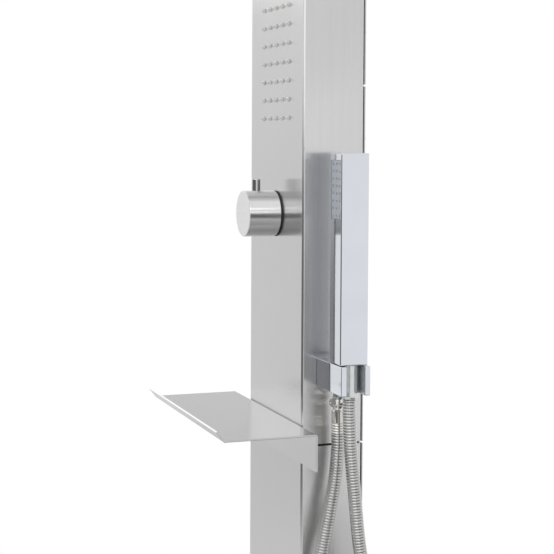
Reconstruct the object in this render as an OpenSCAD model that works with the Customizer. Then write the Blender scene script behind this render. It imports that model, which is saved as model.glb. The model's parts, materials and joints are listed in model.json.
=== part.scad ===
// Outdoor shower column of folded brushed steel, standing on a floor plate.
// A rectangular column in two sections carries body jets, a mixer knob, a shelf and a hand shower.
// +Z is up, -Y is the front with the jets, and +X is the side with the hand shower.
// The origin is the centre of the floor plate's underside, on the column's axis.

/* [Column] */
// Width of the column across its front
col_w = 170; // [150:1:220]
// Depth of the column from front to back
col_d = 70; // [66:1:100]
// Thickness of the folded sheet
sheet = 2; // [1.5:0.1:3]
// Outer radius of the two front folds
fold_r = 2.6; // [1:0.1:4]
// Height of the seam between the lower and the upper section
seam_z = 900; // [860:5:910]
// Open gap of the seam
seam_gap = 2; // [1:0.5:4]
// Height of the column's top, under the overhead arm
col_top = 2110; // [1950:5:2300]
// Width of the inward returns that the back covers are screwed to
return_w = 18; // [14:1:25]

/* [Back covers] */
// Thickness of the back covers
cover_t = 1.5; // [1:0.1:2.5]
// Height of the split between the middle and the upper cover
split_z = 1279; // [1240:1:1330]
// Open gap between two covers
cover_gap = 2; // [1:0.5:4]
// Distance from a column side to its row of cover screws
screw_inset = 10; // [8:1:12]
// Distance from the end screws of the upper covers to the cover's end
screw_margin = 55; // [30:1:80]
// Distance from the end screws of the lower cover to the cover's end
low_margin = 100; // [90:1:130]
// Diameter of a cover screw's head
head_d = 9; // [7:0.5:12]
// Height of a cover screw's head
head_h = 2; // [1:0.1:3]
// Diameter of a cover screw's shank
shank_d = 4; // [3:0.5:5]

/* [Floor plate] */
// Width of the floor plate
base_w = 260; // [240:5:360]
// Depth of the floor plate
base_l = 180; // [160:5:300]
// Thickness of the floor plate
base_t = 8; // [6:1:15]
// Distance between anchor holes along the width
anchor_x = 220; // [210:5:230]
// Distance between anchor holes along the depth
anchor_y = 140; // [120:5:144]
// Diameter of an anchor hole
anchor_hole = 12; // [10:0.5:14]
// Rim of the floor plate's window round the inlets
window_rim = 5; // [3:0.5:8]
// Height of the upstand that the column is slipped over
upstand_h = 80; // [50:5:85]
// Wall of the upstand, of the joining sleeve and of the top frame
ring_t = 2.5; // [2:0.1:4]
// Clearance between these rings and the column, all round
ring_play = 0.3; // [0.1:0.05:0.5]

/* [Overhead arm] */
// Reach of the arm in front of the column
arm_reach = 330; // [280:5:450]
// Height of the arm
arm_h = 40; // [36:1:70]
// Width of the rain plate
rain_w = 130; // [110:2:140]
// Length of the rain plate
rain_l = 240; // [200:5:260]
// Distance from the arm's front end to the rain plate
rain_inset = 20; // [12:1:40]
// Distance between rain nozzles
rain_pitch = 20; // [16:1:30]
// Diameter of a rain nozzle
rain_d = 5; // [3:0.5:7]
// Height of the rain chamber
chamber_h = 28; // [24:1:30]
// Height of the frame that joins the column to the arm
top_frame_h = 45; // [30:1:46]

/* [Body jets] */
// Distance between jets, both ways
jet_pitch = 20; // [16:1:22]
// Jets in a row
jet_cols = 5; // [3:1:6]
// Rows of jets
jet_rows = 7; // [5:1:8]
// Height of the lowest row
jet_z = 1245; // [1215:1:1275]
// Diameter of a jet's tip
jet_d = 5.6; // [4:0.1:7]
// How far a jet stands out of the front
jet_out = 3.2; // [2:0.1:5]
// Depth of the water box behind the jets
box_d = 18; // [14:1:20]

/* [Knobs] */
// Height of the mixer knob's axis
mixer_z = 1141; // [1115:1:1150]
// Height of the diverter knob's axis
diverter_z = 1480; // [1460:5:1700]
// Diameter of a knob
knob_d = 50; // [46:1:60]
// Length of a knob with its gap to the gasket
knob_l = 35.5; // [32:0.5:45]
// Gap between a knob and its gasket
knob_gap = 0.5; // [0.3:0.1:1]
// Diameter of the pin on a knob
pin_d = 9; // [6:0.5:10]
// How far the pin stands out of a knob
pin_out = 13; // [8:0.5:20]
// Distance of the pin's axis behind the knob's end
pin_back = 15; // [11:0.5:16]
// Diameter of the cartridge
cart_d = 35; // [30:0.5:36]
// Diameter of the spindle
spindle_d = 10; // [8:0.5:12]
// Clearance of a spindle in its bore, all round
spindle_play = 0.05; // [0.02:0.01:0.08]
// Thickness of the gasket under a knob
gasket_t = 1.5; // [1:0.1:3]

/* [Pipes] */
// Diameter of the copper pipes
pipe_d = 15; // [12:1:16]
// Wall of the pipes
pipe_wall = 1; // [0.7:0.1:1.5]
// Distance of the hot and cold risers from the column's axis
riser_x = 30; // [26:1:32]
// Distance of the hand shower's pipe from the column's axis
hand_pipe_x = 60; // [54:1:62]
// Depth of the pipes behind the column's axis
pipe_y = 3; // [2:0.5:5]
// Depth of a pipe in its socket
socket_in = 10; // [6:1:12]
// Wall of a socket
socket_t = 3; // [2:0.5:3.5]
// Bore radius of the half-inch inlet thread
inlet_r = 9.3; // [9:0.1:9.6]
// Length of the inlet thread
inlet_l = 15; // [12:1:20]
// Height of the inlets' open ends
inlet_z = 40; // [30:1:60]
// Diameter of the inlet fittings
inlet_d = 26; // [24:1:28]

/* [Shelf] */
// Width of the shelf
shelf_w = 266; // [200:2:320]
// Depth of the tray
shelf_d = 99; // [70:1:140]
// Height of the tray's top face
shelf_z = 922; // [919:1:926]
// Height of the flange that is fixed to the column
flange_h = 39; // [30:1:60]
// Reach of the front lip
lip_out = 8; // [4:0.5:14]
// Rise of the front lip
lip_up = 10; // [5:0.5:16]
// Thickness of the shelf's sheet
shelf_t = 2; // [1.5:0.1:3]
// Distance of the shelf's studs below the tray
stud_drop = 12; // [10:0.5:14]
// Distance between two studs
stud_pitch = 55; // [30:1:65]
// Diameter of a stud
stud_d = 6; // [4:0.5:8]

/* [Hand shower] */
// Depth of the hand shower's centre line from the column's axis, to the back
acc_y = -2.5; // [-4:0.5:0]
// Gap between the column's side and the hand shower
stand_off = 32.5; // [31:0.5:35]
// Hand shower's size along X
stick_x = 32; // [29:0.5:33]
// Hand shower's size along Y
stick_y = 30; // [28:0.5:34]
// Hand shower's height
stick_h = 215; // [180:1:260]
// Wall of the hand shower
stick_t = 1.5; // [1.2:0.1:1.6]
// Radius of the hand shower's long edges
stick_r = 1.5; // [0.5:0.1:3]
// Width of the spray pad
pad_w = 25.5; // [20:0.5:25.5]
// Height of the spray pad
pad_h = 60; // [40:1:80]
// Distance of the spray pad below the hand shower's top
pad_drop = 7; // [6:0.5:20]
// Thickness of the spray pad
pad_t = 3; // [2:0.1:4]
// Columns of nozzles on the spray pad
pad_cols = 3; // [2:1:3]
// Rows of nozzles on the spray pad
pad_rows = 8; // [5:1:8]
// Diameter of a nozzle on the spray pad
pad_nozzle_d = 2.4; // [1.5:0.1:4]

/* [Holder and outlet] */
// Height of the holder's axis
holder_z = 978; // [975:0.5:984]
// Height of the holder
holder_h = 30; // [26:0.5:34]
// Length of the holder from the column outwards
holder_l = 68.5; // [67:0.5:72]
// Holder's size along Y
holder_y = 31.8; // [30:0.2:36]
// Radius of the slot that the hose's nut sits in
slot_r = 9.9; // [9.5:0.1:10.5]
// Distance of the slot's axis from the hand shower's middle, outwards
slot_shift = 3.5; // [2:0.5:4]
// Thickness of the flat seal between the holder and the column
seal_t = 0.5; // [0.3:0.1:1]
// Diameter of the threaded tail that goes through the column's side
tail_d = 12; // [10:0.5:12]
// Diameter of the outlet's ball
ball_d = 15; // [12:0.5:15.5]
// Distance of the outlet's axis from the holder's inner face
outlet_in = 20.9; // [20.1:0.2:21.7]
// Distance of the ball's centre below the holder
ball_drop = 13; // [12:0.5:14]
// Length of the neck between the outlet's ball and its nut
neck_l = 1.5; // [1:0.5:3]
// Diameter of the outlet's nut
nut_d = 13.4; // [13:0.1:15.5]
// Length of the outlet's nut
nut_l = 14; // [10:0.5:18]
// Length of the ribbed collar under the nut
collar_l = 11; // [8:0.5:14]
// Gap between the hand shower and what it rests on
rest_gap = 0.3; // [0.3:0.05:0.6]

/* [Hose] */
// Diameter of the hose over its ribs
hose_d = 14; // [12:0.5:15]
// Diameter of the hose's bore
hose_bore = 8; // [6:0.5:9]
// Depth of the hose's ribs
rib_depth = 0.9; // [0.5:0.1:1.2]
// Ribs along the hose
rib_count = 200; // [120:5:200]
// Diameter of the nut at the hand shower's end
cone_d = 17; // [16:0.1:18]
// Length of that nut below the hand shower
cone_l = 36; // [33:0.5:36]

/* [Hidden] */
$fn = 48;
eps = 0.01;

// Faces of the column
front_y = -col_d / 2;
back_y = col_d / 2;
side_x = col_w / 2;
inner_x = side_x - sheet;
inner_front = front_y + sheet;
return_y = back_y - cover_t;
inner_back = return_y - sheet;
lower_top = seam_z - seam_gap / 2;
upper_bottom = seam_z + seam_gap / 2;
screw_x = side_x - screw_inset;
sleeve_half = 53;
joint_top = seam_z + sleeve_half;
joint_bottom = seam_z - sleeve_half;

// Covers, as the heights of their lower and upper ends
low_span = [base_t + cover_gap / 4, lower_top];
middle_span = [upper_bottom, split_z - cover_gap / 2];
upper_span = [split_z + cover_gap / 2, col_top];
low_screws = spread(low_span[0] + low_margin, low_span[1] - low_margin, 3);
middle_screws = spread(middle_span[0] + screw_margin, middle_span[1] - screw_margin, 2);
upper_screws = spread(upper_span[0] + screw_margin, upper_span[1] - screw_margin, 3);

// Water ways
socket_d = pipe_d + 2 * socket_t;
water_d = pipe_d - 4;
cross_d = pipe_d - 6;
pass_d = pipe_d + 12;
socket_play = 0.05;
elbow_end = 1.5;
port_drop = socket_d / 2 + 3;
arm_top = col_top + arm_h;
arm_screw_in = 14;
top_plate_t = 3;
rain_edge = 10;
arm_front = front_y - arm_reach;
rain_y = arm_front + rain_inset + rain_l / 2;
chamber_wall = 2;
chamber_z = col_top + sheet;
head_run_z = chamber_z + chamber_h / 2;
bend_r = 24;
chamber_rim = 6;
box_margin = 14;
box_wall = 4;
spout_h = 24;
box_back = inner_front + box_d;
jet_top = jet_z + (jet_rows - 1) * jet_pitch;
jet_x0 = -(jet_cols - 1) * jet_pitch / 2;
inlet_rise = 34;
inlet_shelf_z = inlet_z + inlet_rise;
inlet_top = inlet_shelf_z + 12;
inlet_collar_t = 3;
window_y = inlet_d / 2 + window_rim;
window_x = riser_x + window_y;

// Knobs
knob_back = front_y - gasket_t - knob_gap;
knob_end = knob_back - knob_l;
hub_y = knob_end + 10;
cart_front = knob_end + 22;
spindle_in = 29;
pin_in = 10;
knob_floor = 20;
valve_wall = 5;
cart_back = pipe_y - pipe_d / 2 - 2;
gasket_id = cart_d + 1;

// Hand shower and holder
holder_x0 = side_x + seal_t;
holder_x1 = holder_x0 + holder_l;
holder_r = 0.8;
holder_y0 = acc_y - holder_y / 2;
holder_bottom = holder_z - holder_h / 2;
holder_top = holder_z + holder_h / 2;
stick_x0 = side_x + stand_off;
stick_cx = stick_x0 + stick_x / 2;
slot_x = stick_cx + slot_shift;
seal_in = 1;
stick_z = holder_top + rest_gap;
stick_top = stick_z + stick_h;
outlet_x = holder_x0 + outlet_in;
ball_z = holder_bottom - ball_drop;
nut_top = ball_z - ball_d / 2 - neck_l;
neck_d = nut_d - 3;
collar_top = nut_top - nut_l;
hose_start = collar_top - collar_l;
cone_bottom = stick_z - cone_l;
hose_end = cone_bottom - rest_gap;

// Free route of the hose between its two straight ends, as round numbers
hose_loop = [
    [106, -5, 870], [106, -11, 835], [106, -19, 795], [106, -37, 705], [106, -56, 610], [106, -71, 515],
    [107, -79, 430], [108, -80, 365], [109, -70, 297], [111, -44, 253], [113, -4, 234], [115, 39, 246],
    [118, 69, 281], [120, 81, 340], [122, 82, 410], [125, 74, 495], [129, 58, 590], [133, 38, 680],
    [136, 21, 750], [137, 10, 805], [137, 4, 860], [137, 0, 900]
];

function spread(first, last, count) =
    [for (i = [0:count - 1]) first + (last - first) * i / (count - 1)];

// One point of a smooth curve through a list of points, at position t
function spline(points, t) =
    let (i = min(floor(t), len(points) - 2), u = t - i,
         a = points[max(i - 1, 0)], b = points[i], c = points[i + 1],
         d = points[min(i + 2, len(points) - 1)])
    (2 * b + (c - a) * u + (2 * a - 5 * b + 4 * c - d) * u * u + (3 * b - a - 3 * c + d) * u * u * u) / 2;

// Running length along a list of points
function running(points) =
    [for (i = 0, s = 0; i < len(points);
          s = s + (i + 1 < len(points) ? norm(points[i + 1] - points[i]) : 0), i = i + 1) s];

// The point at distance s along a list of points whose running length is known
function at_length(points, lengths, s, low, high) =
    high - low <= 1
    ? points[low] + (points[high] - points[low]) * (s - lengths[low]) / (lengths[high] - lengths[low])
    : let (mid = floor((low + high) / 2))
      lengths[mid] > s ? at_length(points, lengths, s, low, mid) : at_length(points, lengths, s, mid, high);

// Points at equal steps along a curve
function even(points, count) =
    let (lengths = running(points), total = lengths[len(points) - 1])
    [for (i = [0:count]) at_length(points, lengths, min(total * i / count, total), 0, len(points) - 1)];

// Direction of a list of points at one of them
function heading(points, i) =
    let (v = points[min(i + 1, len(points) - 1)] - points[max(i - 1, 0)]) v / norm(v);

// One ring of points round a centre, square to a direction that is never along X
function ring(centre, dir, radius, sides) =
    let (across = cross(dir, [1, 0, 0]), n = across / norm(across), m = cross(dir, n))
    [for (k = [0:sides - 1]) centre + radius * (cos(360 * k / sides) * n + sin(360 * k / sides) * m)];

// Two triangles for each side between ring a and ring b of a tube's skin
function skin(a, b, sides) =
    [for (k = [0:sides - 1]) let (n = (k + 1) % sides)
        each [[a + k, a + n, b + k], [a + n, b + n, b + k]]];

// Least distance between stretches of a route that lie far apart along it
function least_gap(points, apart) =
    min([for (i = [0:len(points) - 1]) for (j = [i + apart:len(points) - 1]) norm(points[i] - points[j])]);

// A box from its low corner to its high corner
module block(low, high) {
    translate(low) cube(high - low);
}

// A cylinder along Y from one depth to another
module bar_y(x, z, y0, y1, d) {
    translate([x, y0, z]) rotate([-90, 0, 0]) cylinder(h = y1 - y0, d = d);
}

// A cylinder along X from one side to another
module bar_x(x0, x1, y, z, d) {
    translate([x0, y, z]) rotate([0, 90, 0]) cylinder(h = x1 - x0, d = d);
}

// A cylinder along Z from one height to another
module bar_z(x, y, z0, z1, d) {
    translate([x, y, z0]) cylinder(h = z1 - z0, d = d);
}

// Outline of the folded channel, open at the back between its returns
module channel_outline() {
    difference() {
        union() {
            translate([-side_x, front_y + fold_r]) square([col_w, return_y - front_y - fold_r]);
            translate([-side_x + fold_r, front_y]) square([col_w - 2 * fold_r, 2 * fold_r]);
            for (x = [-side_x + fold_r, side_x - fold_r]) translate([x, front_y + fold_r]) circle(fold_r);
        }
        translate([-inner_x, inner_front]) square([2 * inner_x, inner_back - inner_front]);
        translate([-side_x + return_w, inner_back - eps])
            square([col_w - 2 * return_w, return_y - inner_back + 1]);
    }
}

module channel(z0, z1) {
    translate([0, 0, z0]) linear_extrude(z1 - z0) channel_outline();
}

// A closed rectangular ring that fits inside the column
module inner_ring(z0, z1) {
    x = inner_x - ring_play;
    y0 = inner_front + ring_play;
    y1 = inner_back - ring_play;
    difference() {
        block([-x, y0, z0], [x, y1, z1]);
        block([-x + ring_t, y0 + ring_t, z0 - 1], [x - ring_t, y1 - ring_t, z1 + 1]);
    }
}

// The two rows of cover screws at the given heights
module at_screws(heights) {
    for (x = [-screw_x, screw_x]) for (z = heights) translate([x, 0, z]) children();
}

module screw_holes(heights, play) {
    at_screws(heights) bar_y(0, 0, inner_back - 1, back_y + 1, shank_d + 2 * play);
}

module cover(span, heights) {
    difference() {
        block([-side_x, return_y, span[0]], [side_x, back_y, span[1]]);
        screw_holes(heights, 0.2);
    }
}

// A pan-head screw whose head lies on the cover
module cover_screw() {
    translate([0, back_y, 0]) rotate([-90, 0, 0]) rotate_extrude() polygon([
        [0, -cover_t - sheet - 1], [shank_d / 2, -cover_t - sheet - 1], [shank_d / 2, 0], [head_d / 2, 0],
        [head_d / 2, head_h * 0.4], [head_d / 2 * 0.8, head_h * 0.85], [head_d / 2 * 0.45, head_h],
        [head_d / 2 * 0.45, head_h * 0.5], [0, head_h * 0.5]
    ]);
}

module screw_set(heights) {
    at_screws(heights) cover_screw();
}

// Flush rivets that hold an inner ring to the returns
module rivets(heights) {
    at_screws(heights) bar_y(0, 0, inner_back - ring_play - ring_t, return_y, shank_d);
}

module rivet_holes(heights) {
    at_screws(heights) bar_y(0, 0, inner_back - ring_play - ring_t - 1, return_y + 1, shank_d);
}

// A straight pipe between two heights
module pipe(x, z0, z1) {
    difference() {
        bar_z(x, pipe_y, z0, z1, pipe_d);
        bar_z(x, pipe_y, z0 - 1, z1 + 1, pipe_d - 2 * pipe_wall);
    }
}

// A socket around a pipe's end, with its mouth at z0 or z1
module socket_hole(x, z0, z1) {
    bar_z(x, pipe_y, z0, z1, pipe_d + 2 * socket_play);
}

// A valve behind a knob, with a cross tube between two lower ports and one middle port
module valve_body(z, left_x, right_x, middle_up) {
    reach = socket_d / 2 + 2;
    middle_end = middle_up ? z + port_drop + socket_in : z - port_drop - socket_in;
    difference() {
        union() {
            bar_y(0, z, inner_front, cart_back + 8, cart_d + 2 * valve_wall);
            bar_x(left_x - reach, right_x + reach, pipe_y, z, socket_d + 1);
            for (x = [left_x, right_x]) bar_z(x, pipe_y, z - port_drop - socket_in, z, socket_d);
            bar_z(0, pipe_y, min(z, middle_end), max(z, middle_end), socket_d);
            if (!middle_up) bar_z(0, pipe_y, z, z + port_drop + socket_in, socket_d);
        }
        bar_y(0, z, inner_front - 1, cart_back, cart_d + 2 * socket_play);
        bar_x(left_x, right_x, pipe_y + 3, z, cross_d);
        for (x = [left_x, right_x]) {
            socket_hole(x, z - port_drop - socket_in - 1, z - port_drop);
            bar_z(x, pipe_y, z - port_drop - 1, z, water_d);
        }
        valve_middle_port(z, middle_up);
        if (!middle_up) valve_middle_port(z, true);
    }
}

module valve_middle_port(z, up) {
    near = z + (up ? port_drop : -port_drop);
    far = near + (up ? socket_in + 1 : -socket_in - 1);
    socket_hole(0, min(near, far), max(near, far));
    bar_z(0, pipe_y, min(z, near), max(z, near) + (up ? 1 : 0), water_d);
}

module cartridge(z) {
    difference() {
        bar_y(0, z, cart_front, cart_back, cart_d);
        bar_y(0, z, cart_front - 1, cart_front + spindle_in + 1, spindle_d + 2 * spindle_play);
    }
}

module spindle(z) {
    bar_y(0, z, hub_y, cart_front + spindle_in, spindle_d);
}

module gasket(z) {
    difference() {
        bar_y(0, z, front_y - gasket_t, front_y, knob_d);
        bar_y(0, z, front_y - gasket_t - 1, front_y + 1, gasket_id);
    }
}

// A turned knob, open at the back around the cartridge and bored for its spindle and pin
module knob(z) {
    edge = 0.8;
    cavity = cart_d + 4;
    difference() {
        translate([0, knob_back, z]) rotate([90, 0, 0]) rotate_extrude() polygon([
            [cavity / 2, 0], [knob_d / 2 - edge / 2, 0], [knob_d / 2, edge / 2], [knob_d / 2, knob_l - edge],
            [knob_d / 2 - edge, knob_l], [0, knob_l], [0, knob_l - knob_floor],
            [cavity / 2, knob_l - knob_floor]
        ]);
        bar_y(0, z, hub_y, knob_back, spindle_d);
        bar_z(0, knob_end + pin_back, z + knob_d / 2 - pin_in, z + knob_d / 2 + 5, pin_d);
    }
}

// A turned pin pressed into a knob, with a rounded end
module knob_pin(z) {
    r = pin_d / 2;
    tall = pin_in + pin_out;
    translate([0, knob_end + pin_back, z + knob_d / 2 - pin_in]) rotate_extrude() polygon([
        [0, 0], [r, 0], [r, tall - 1], [r - 0.3, tall - 0.3], [r - 1, tall], [0, tall]
    ]);
}

// Every place of a grid across X and along a second direction
module grid(cols, rows, pitch, along) {
    for (i = [0:cols - 1]) for (j = [0:rows - 1])
        translate([(i - (cols - 1) / 2) * pitch, 0, 0] + along * (j - (rows - 1) / 2) * pitch) children();
}

module at_jets() {
    translate([0, 0, (jet_z + jet_top) / 2]) grid(jet_cols, jet_rows, jet_pitch, [0, 0, 1]) children();
}

module at_rain() {
    cols = floor((rain_w - 2 * rain_edge) / rain_pitch) + 1;
    rows = floor((rain_l - 2 * rain_edge) / rain_pitch) + 1;
    translate([0, rain_y, 0]) grid(cols, rows, rain_pitch, [0, 1, 0]) children();
}

// A rounded upright bar from its low corner, its size and its edge radius
module rounded_bar(low, size, r) {
    translate(low) linear_extrude(size[2]) {
        translate([r, 0]) square([size[0] - 2 * r, size[1]]);
        translate([0, r]) square([size[0], size[1] - 2 * r]);
        for (x = [r, size[0] - r]) for (y = [r, size[1] - r]) translate([x, y]) circle(r);
    }
}

// Plate with four anchor holes and one window under the two inlets
module floor_plate() {
    color("silver") difference() {
        block([-base_w / 2, -base_l / 2, 0], [base_w / 2, base_l / 2, base_t]);
        for (x = [-anchor_x / 2, anchor_x / 2]) for (y = [-anchor_y / 2, anchor_y / 2])
            bar_z(x, y, -1, base_t + 1, anchor_hole);
        block([-window_x, pipe_y - window_y, -1], [window_x, pipe_y + window_y, base_t + 1]);
    }
}

module upstand() {
    color("darkgray") difference() {
        inner_ring(base_t, base_t + upstand_h);
        rivet_holes([base_t + upstand_h / 2]);
    }
}

module upstand_rivets() {
    color("silver") rivets([base_t + upstand_h / 2]);
}

module lower_channel() {
    color("silver") difference() {
        channel(base_t + cover_gap / 4, lower_top);
        screw_holes(low_screws, 0);
        rivet_holes([base_t + upstand_h / 2, (joint_bottom + lower_top) / 2]);
    }
}

module lower_cover() {
    color("gray") cover(low_span, low_screws);
}

module lower_cover_screws() {
    color("gainsboro") screw_set(low_screws);
}

// Plate across the column's foot that carries the two inlets
module inlet_shelf() {
    x = inner_x - ring_play - ring_t;
    y0 = inner_front + ring_play + ring_t;
    y1 = inner_back - ring_play - ring_t;
    color("darkgray") difference() {
        block([-x, y0, inlet_shelf_z - sheet], [x, y1, inlet_shelf_z]);
        for (side = [-riser_x, riser_x])
            bar_z(side, pipe_y, inlet_shelf_z - sheet - 1, inlet_shelf_z + 1, inlet_d);
    }
}

// Half-inch female inlet facing down, with a collar on its shelf and a socket for the riser
module inlet(x) {
    difference() {
        union() {
            bar_z(x, pipe_y, inlet_z, inlet_top, inlet_d);
            bar_z(x, pipe_y, inlet_shelf_z, inlet_shelf_z + inlet_collar_t, inlet_d + 8);
        }
        bar_z(x, pipe_y, inlet_z - 1, inlet_z + inlet_l, 2 * inlet_r);
        bar_z(x, pipe_y, inlet_z + inlet_l - 1, inlet_top, water_d);
        socket_hole(x, inlet_top - socket_in, inlet_top + 1);
    }
}

module hot_inlet() {
    color("goldenrod") inlet(-riser_x);
}

module cold_inlet() {
    color("goldenrod") inlet(riser_x);
}

module joining_sleeve() {
    color("darkgray") difference() {
        inner_ring(joint_bottom, joint_top);
        rivet_holes([(joint_bottom + lower_top) / 2, (joint_top + upper_bottom) / 2]);
        at_studs() bar_y(0, 0, inner_front - 1, inner_front + ring_play + ring_t + 1, stud_d + 1);
    }
}

module sleeve_rivets() {
    color("silver") rivets([(joint_bottom + lower_top) / 2, (joint_top + upper_bottom) / 2]);
}

module upper_channel() {
    top_rivet = col_top - top_frame_h / 2;
    color("silver") difference() {
        channel(upper_bottom, col_top);
        screw_holes(concat(middle_screws, upper_screws), 0);
        rivet_holes([(joint_top + upper_bottom) / 2, top_rivet]);
        at_jets() bar_y(0, 0, front_y - 1, inner_front + 1, jet_d);
        for (z = [mixer_z, diverter_z]) bar_y(0, z, front_y - 1, inner_front + 1, cart_d);
        at_studs() bar_y(0, 0, front_y - 1, inner_front + 1, stud_d);
        bar_x(inner_x - 1, side_x + 1, pipe_y, holder_z, tail_d);
    }
}

module middle_cover() {
    color("gray") cover(middle_span, middle_screws);
}

module upper_cover() {
    color("gray") cover(upper_span, upper_screws);
}

module upper_cover_screws() {
    color("gainsboro") screw_set(concat(middle_screws, upper_screws));
}

module at_arm_screws() {
    x1 = inner_x - arm_screw_in;
    for (x = [-x1, x1]) for (y = [inner_front + 12, inner_back - 12])
        translate([x, y, 0]) children();
}

// Frame inside the column's top, with a plate that the arm is bolted to
module top_frame() {
    x = inner_x - ring_play;
    color("darkgray") difference() {
        union() {
            inner_ring(col_top - top_frame_h, col_top);
            block([-x, inner_front + ring_play, col_top - top_plate_t], [x, inner_back - ring_play, col_top]);
        }
        rivet_holes([col_top - top_frame_h / 2]);
        bar_z(0, pipe_y, col_top - top_plate_t - 1, col_top + 1, pass_d);
        at_arm_screws() bar_z(0, 0, col_top - top_plate_t - 1, col_top + 1, shank_d);
    }
    color("silver") rivets([col_top - top_frame_h / 2]);
}

// Folded tray that is open below and covers the column's top
module arm_shell() {
    color("silver") difference() {
        block([-side_x, arm_front, col_top], [side_x, back_y, arm_top]);
        block([-inner_x, arm_front + sheet, col_top - 1], [inner_x, back_y - sheet, arm_top - sheet]);
    }
}

module arm_floor() {
    color("silver") difference() {
        block([-inner_x, arm_front + sheet, col_top], [inner_x, back_y - sheet, col_top + sheet]);
        block([-rain_w / 2, rain_y - rain_l / 2, col_top - 1],
              [rain_w / 2, rain_y + rain_l / 2, chamber_z + 1]);
        bar_z(0, pipe_y, col_top - 1, chamber_z + 1, pass_d);
        at_arm_screws() bar_z(0, 0, col_top - 1, chamber_z + 1, shank_d);
    }
}

module arm_screws() {
    color("gainsboro") at_arm_screws() {
        bar_z(0, 0, col_top - 8, chamber_z, shank_d);
        bar_z(0, 0, chamber_z, chamber_z + head_h, head_d);
    }
}

module rain_plate() {
    color("gainsboro") difference() {
        block([-rain_w / 2 + 0.1, rain_y - rain_l / 2 + 0.1, col_top - 1],
              [rain_w / 2 - 0.1, rain_y + rain_l / 2 - 0.1, chamber_z]);
        at_rain() bar_z(0, 0, col_top - 2, chamber_z + 1, rain_d);
    }
}

module rain_nozzles() {
    color("dimgray") at_rain() difference() {
        bar_z(0, 0, col_top - 3, chamber_z, rain_d);
        bar_z(0, 0, col_top - 4, chamber_z + 1, rain_d - 3);
    }
}

// Water box above the rain plate, with the head pipe's socket at its back
module rain_chamber() {
    x = rain_w / 2 + chamber_rim;
    y0 = rain_y - rain_l / 2 - chamber_rim;
    y1 = rain_y + rain_l / 2 + chamber_rim;
    z1 = chamber_z + chamber_h;
    color("gainsboro") difference() {
        union() {
            block([-x, y0, chamber_z], [x, y1, z1]);
            bar_y(0, head_run_z, y1, y1 + socket_in, socket_d);
        }
        block([-x + chamber_rim, y0 + chamber_rim, chamber_z - 1],
              [x - chamber_rim, y1 - chamber_rim, z1 - chamber_wall]);
        bar_y(0, head_run_z, y1, y1 + socket_in + 1, pipe_d + 2 * socket_play);
        bar_y(0, head_run_z, y1 - chamber_rim - 1, y1 + 1, water_d);
    }
}

// Pipe from the diverter up the column, round a bend and forward to the rain chamber
module head_pipe() {
    z0 = diverter_z + port_drop;
    y0 = rain_y + rain_l / 2 + chamber_rim;
    color("peru") difference() {
        head_run(z0, y0, pipe_d);
        head_run(z0 - 1, y0 - 1, pipe_d - 2 * pipe_wall);
    }
}

module head_run(z0, y0, d) {
    bar_z(0, pipe_y, z0, head_run_z - bend_r + eps, d);
    bar_y(0, head_run_z, y0, pipe_y - bend_r + eps, d);
    translate([0, pipe_y - bend_r, head_run_z - bend_r]) rotate([90, 0, 90])
        rotate_extrude(angle = 90) translate([bend_r, 0]) circle(d = d);
}

// Water box behind the jets, with a spout that holds the jet pipe's end
module jet_box() {
    x = -jet_x0 + box_margin;
    z0 = jet_z - box_margin;
    z1 = jet_top + box_margin;
    color("darkgray") difference() {
        union() {
            block([-x, inner_front, z0], [x, box_back, z1]);
            block([-riser_x - socket_d / 2, box_back - 1, z1 - spout_h],
                  [-riser_x + socket_d / 2, pipe_y + socket_d / 2, z1]);
        }
        block([-x + box_wall, inner_front - 1, z0 + box_wall], [x - box_wall, box_back - 3, z1 - box_wall]);
        socket_hole(-riser_x, z1 - socket_in, z1 + 1);
        bar_z(-riser_x, pipe_y, z1 - spout_h * 2 / 3, z1, water_d);
        bar_y(-riser_x, z1 - spout_h / 2, box_back - 4, pipe_y, spout_h / 4);
    }
}

// Small tapered jets that stand out of the front, each with its bore
module jets() {
    color("dimgray") at_jets() translate([0, inner_front, 0]) rotate([90, 0, 0]) rotate_extrude()
        polygon([
            [0.8, -2], [jet_d / 2 + 1, -2], [jet_d / 2 + 1, 0], [jet_d / 2, 0], [jet_d / 2, sheet],
            [jet_d / 2, sheet + jet_out * 0.3], [jet_d * 0.3, sheet + jet_out * 0.85],
            [jet_d * 0.22, sheet + jet_out], [0.8, sheet + jet_out]
        ]);
}

module jet_pipe() {
    color("peru") pipe(-riser_x, jet_top + box_margin - socket_in, diverter_z - port_drop);
}

module mixer_body() {
    color("goldenrod") valve_body(mixer_z, -riser_x, riser_x, true);
}

module mixer_cartridge() {
    color("ivory") cartridge(mixer_z);
}

module mixer_gasket() {
    color("black") gasket(mixer_z);
}

module mixer_spindle() {
    color("gold") spindle(mixer_z);
}

module mixer_knob() {
    color("silver") knob(mixer_z);
}

module mixer_pin() {
    color("gainsboro") knob_pin(mixer_z);
}

module diverter_body() {
    color("goldenrod") valve_body(diverter_z, -riser_x, hand_pipe_x, false);
}

module diverter_cartridge() {
    color("ivory") cartridge(diverter_z);
}

module diverter_gasket() {
    color("black") gasket(diverter_z);
}

module diverter_spindle() {
    color("gold") spindle(diverter_z);
}

module diverter_knob() {
    color("silver") knob(diverter_z);
}

module diverter_pin() {
    color("gainsboro") knob_pin(diverter_z);
}

module hot_riser() {
    color("peru") pipe(-riser_x, inlet_top - socket_in, mixer_z - port_drop);
}

module cold_riser() {
    color("peru") pipe(riser_x, inlet_top - socket_in, mixer_z - port_drop);
}

module mixed_pipe() {
    color("peru") pipe(0, mixer_z + port_drop, diverter_z - port_drop);
}

module hand_pipe() {
    color("peru") pipe(hand_pipe_x, holder_z + port_drop, diverter_z - port_drop);
}

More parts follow.
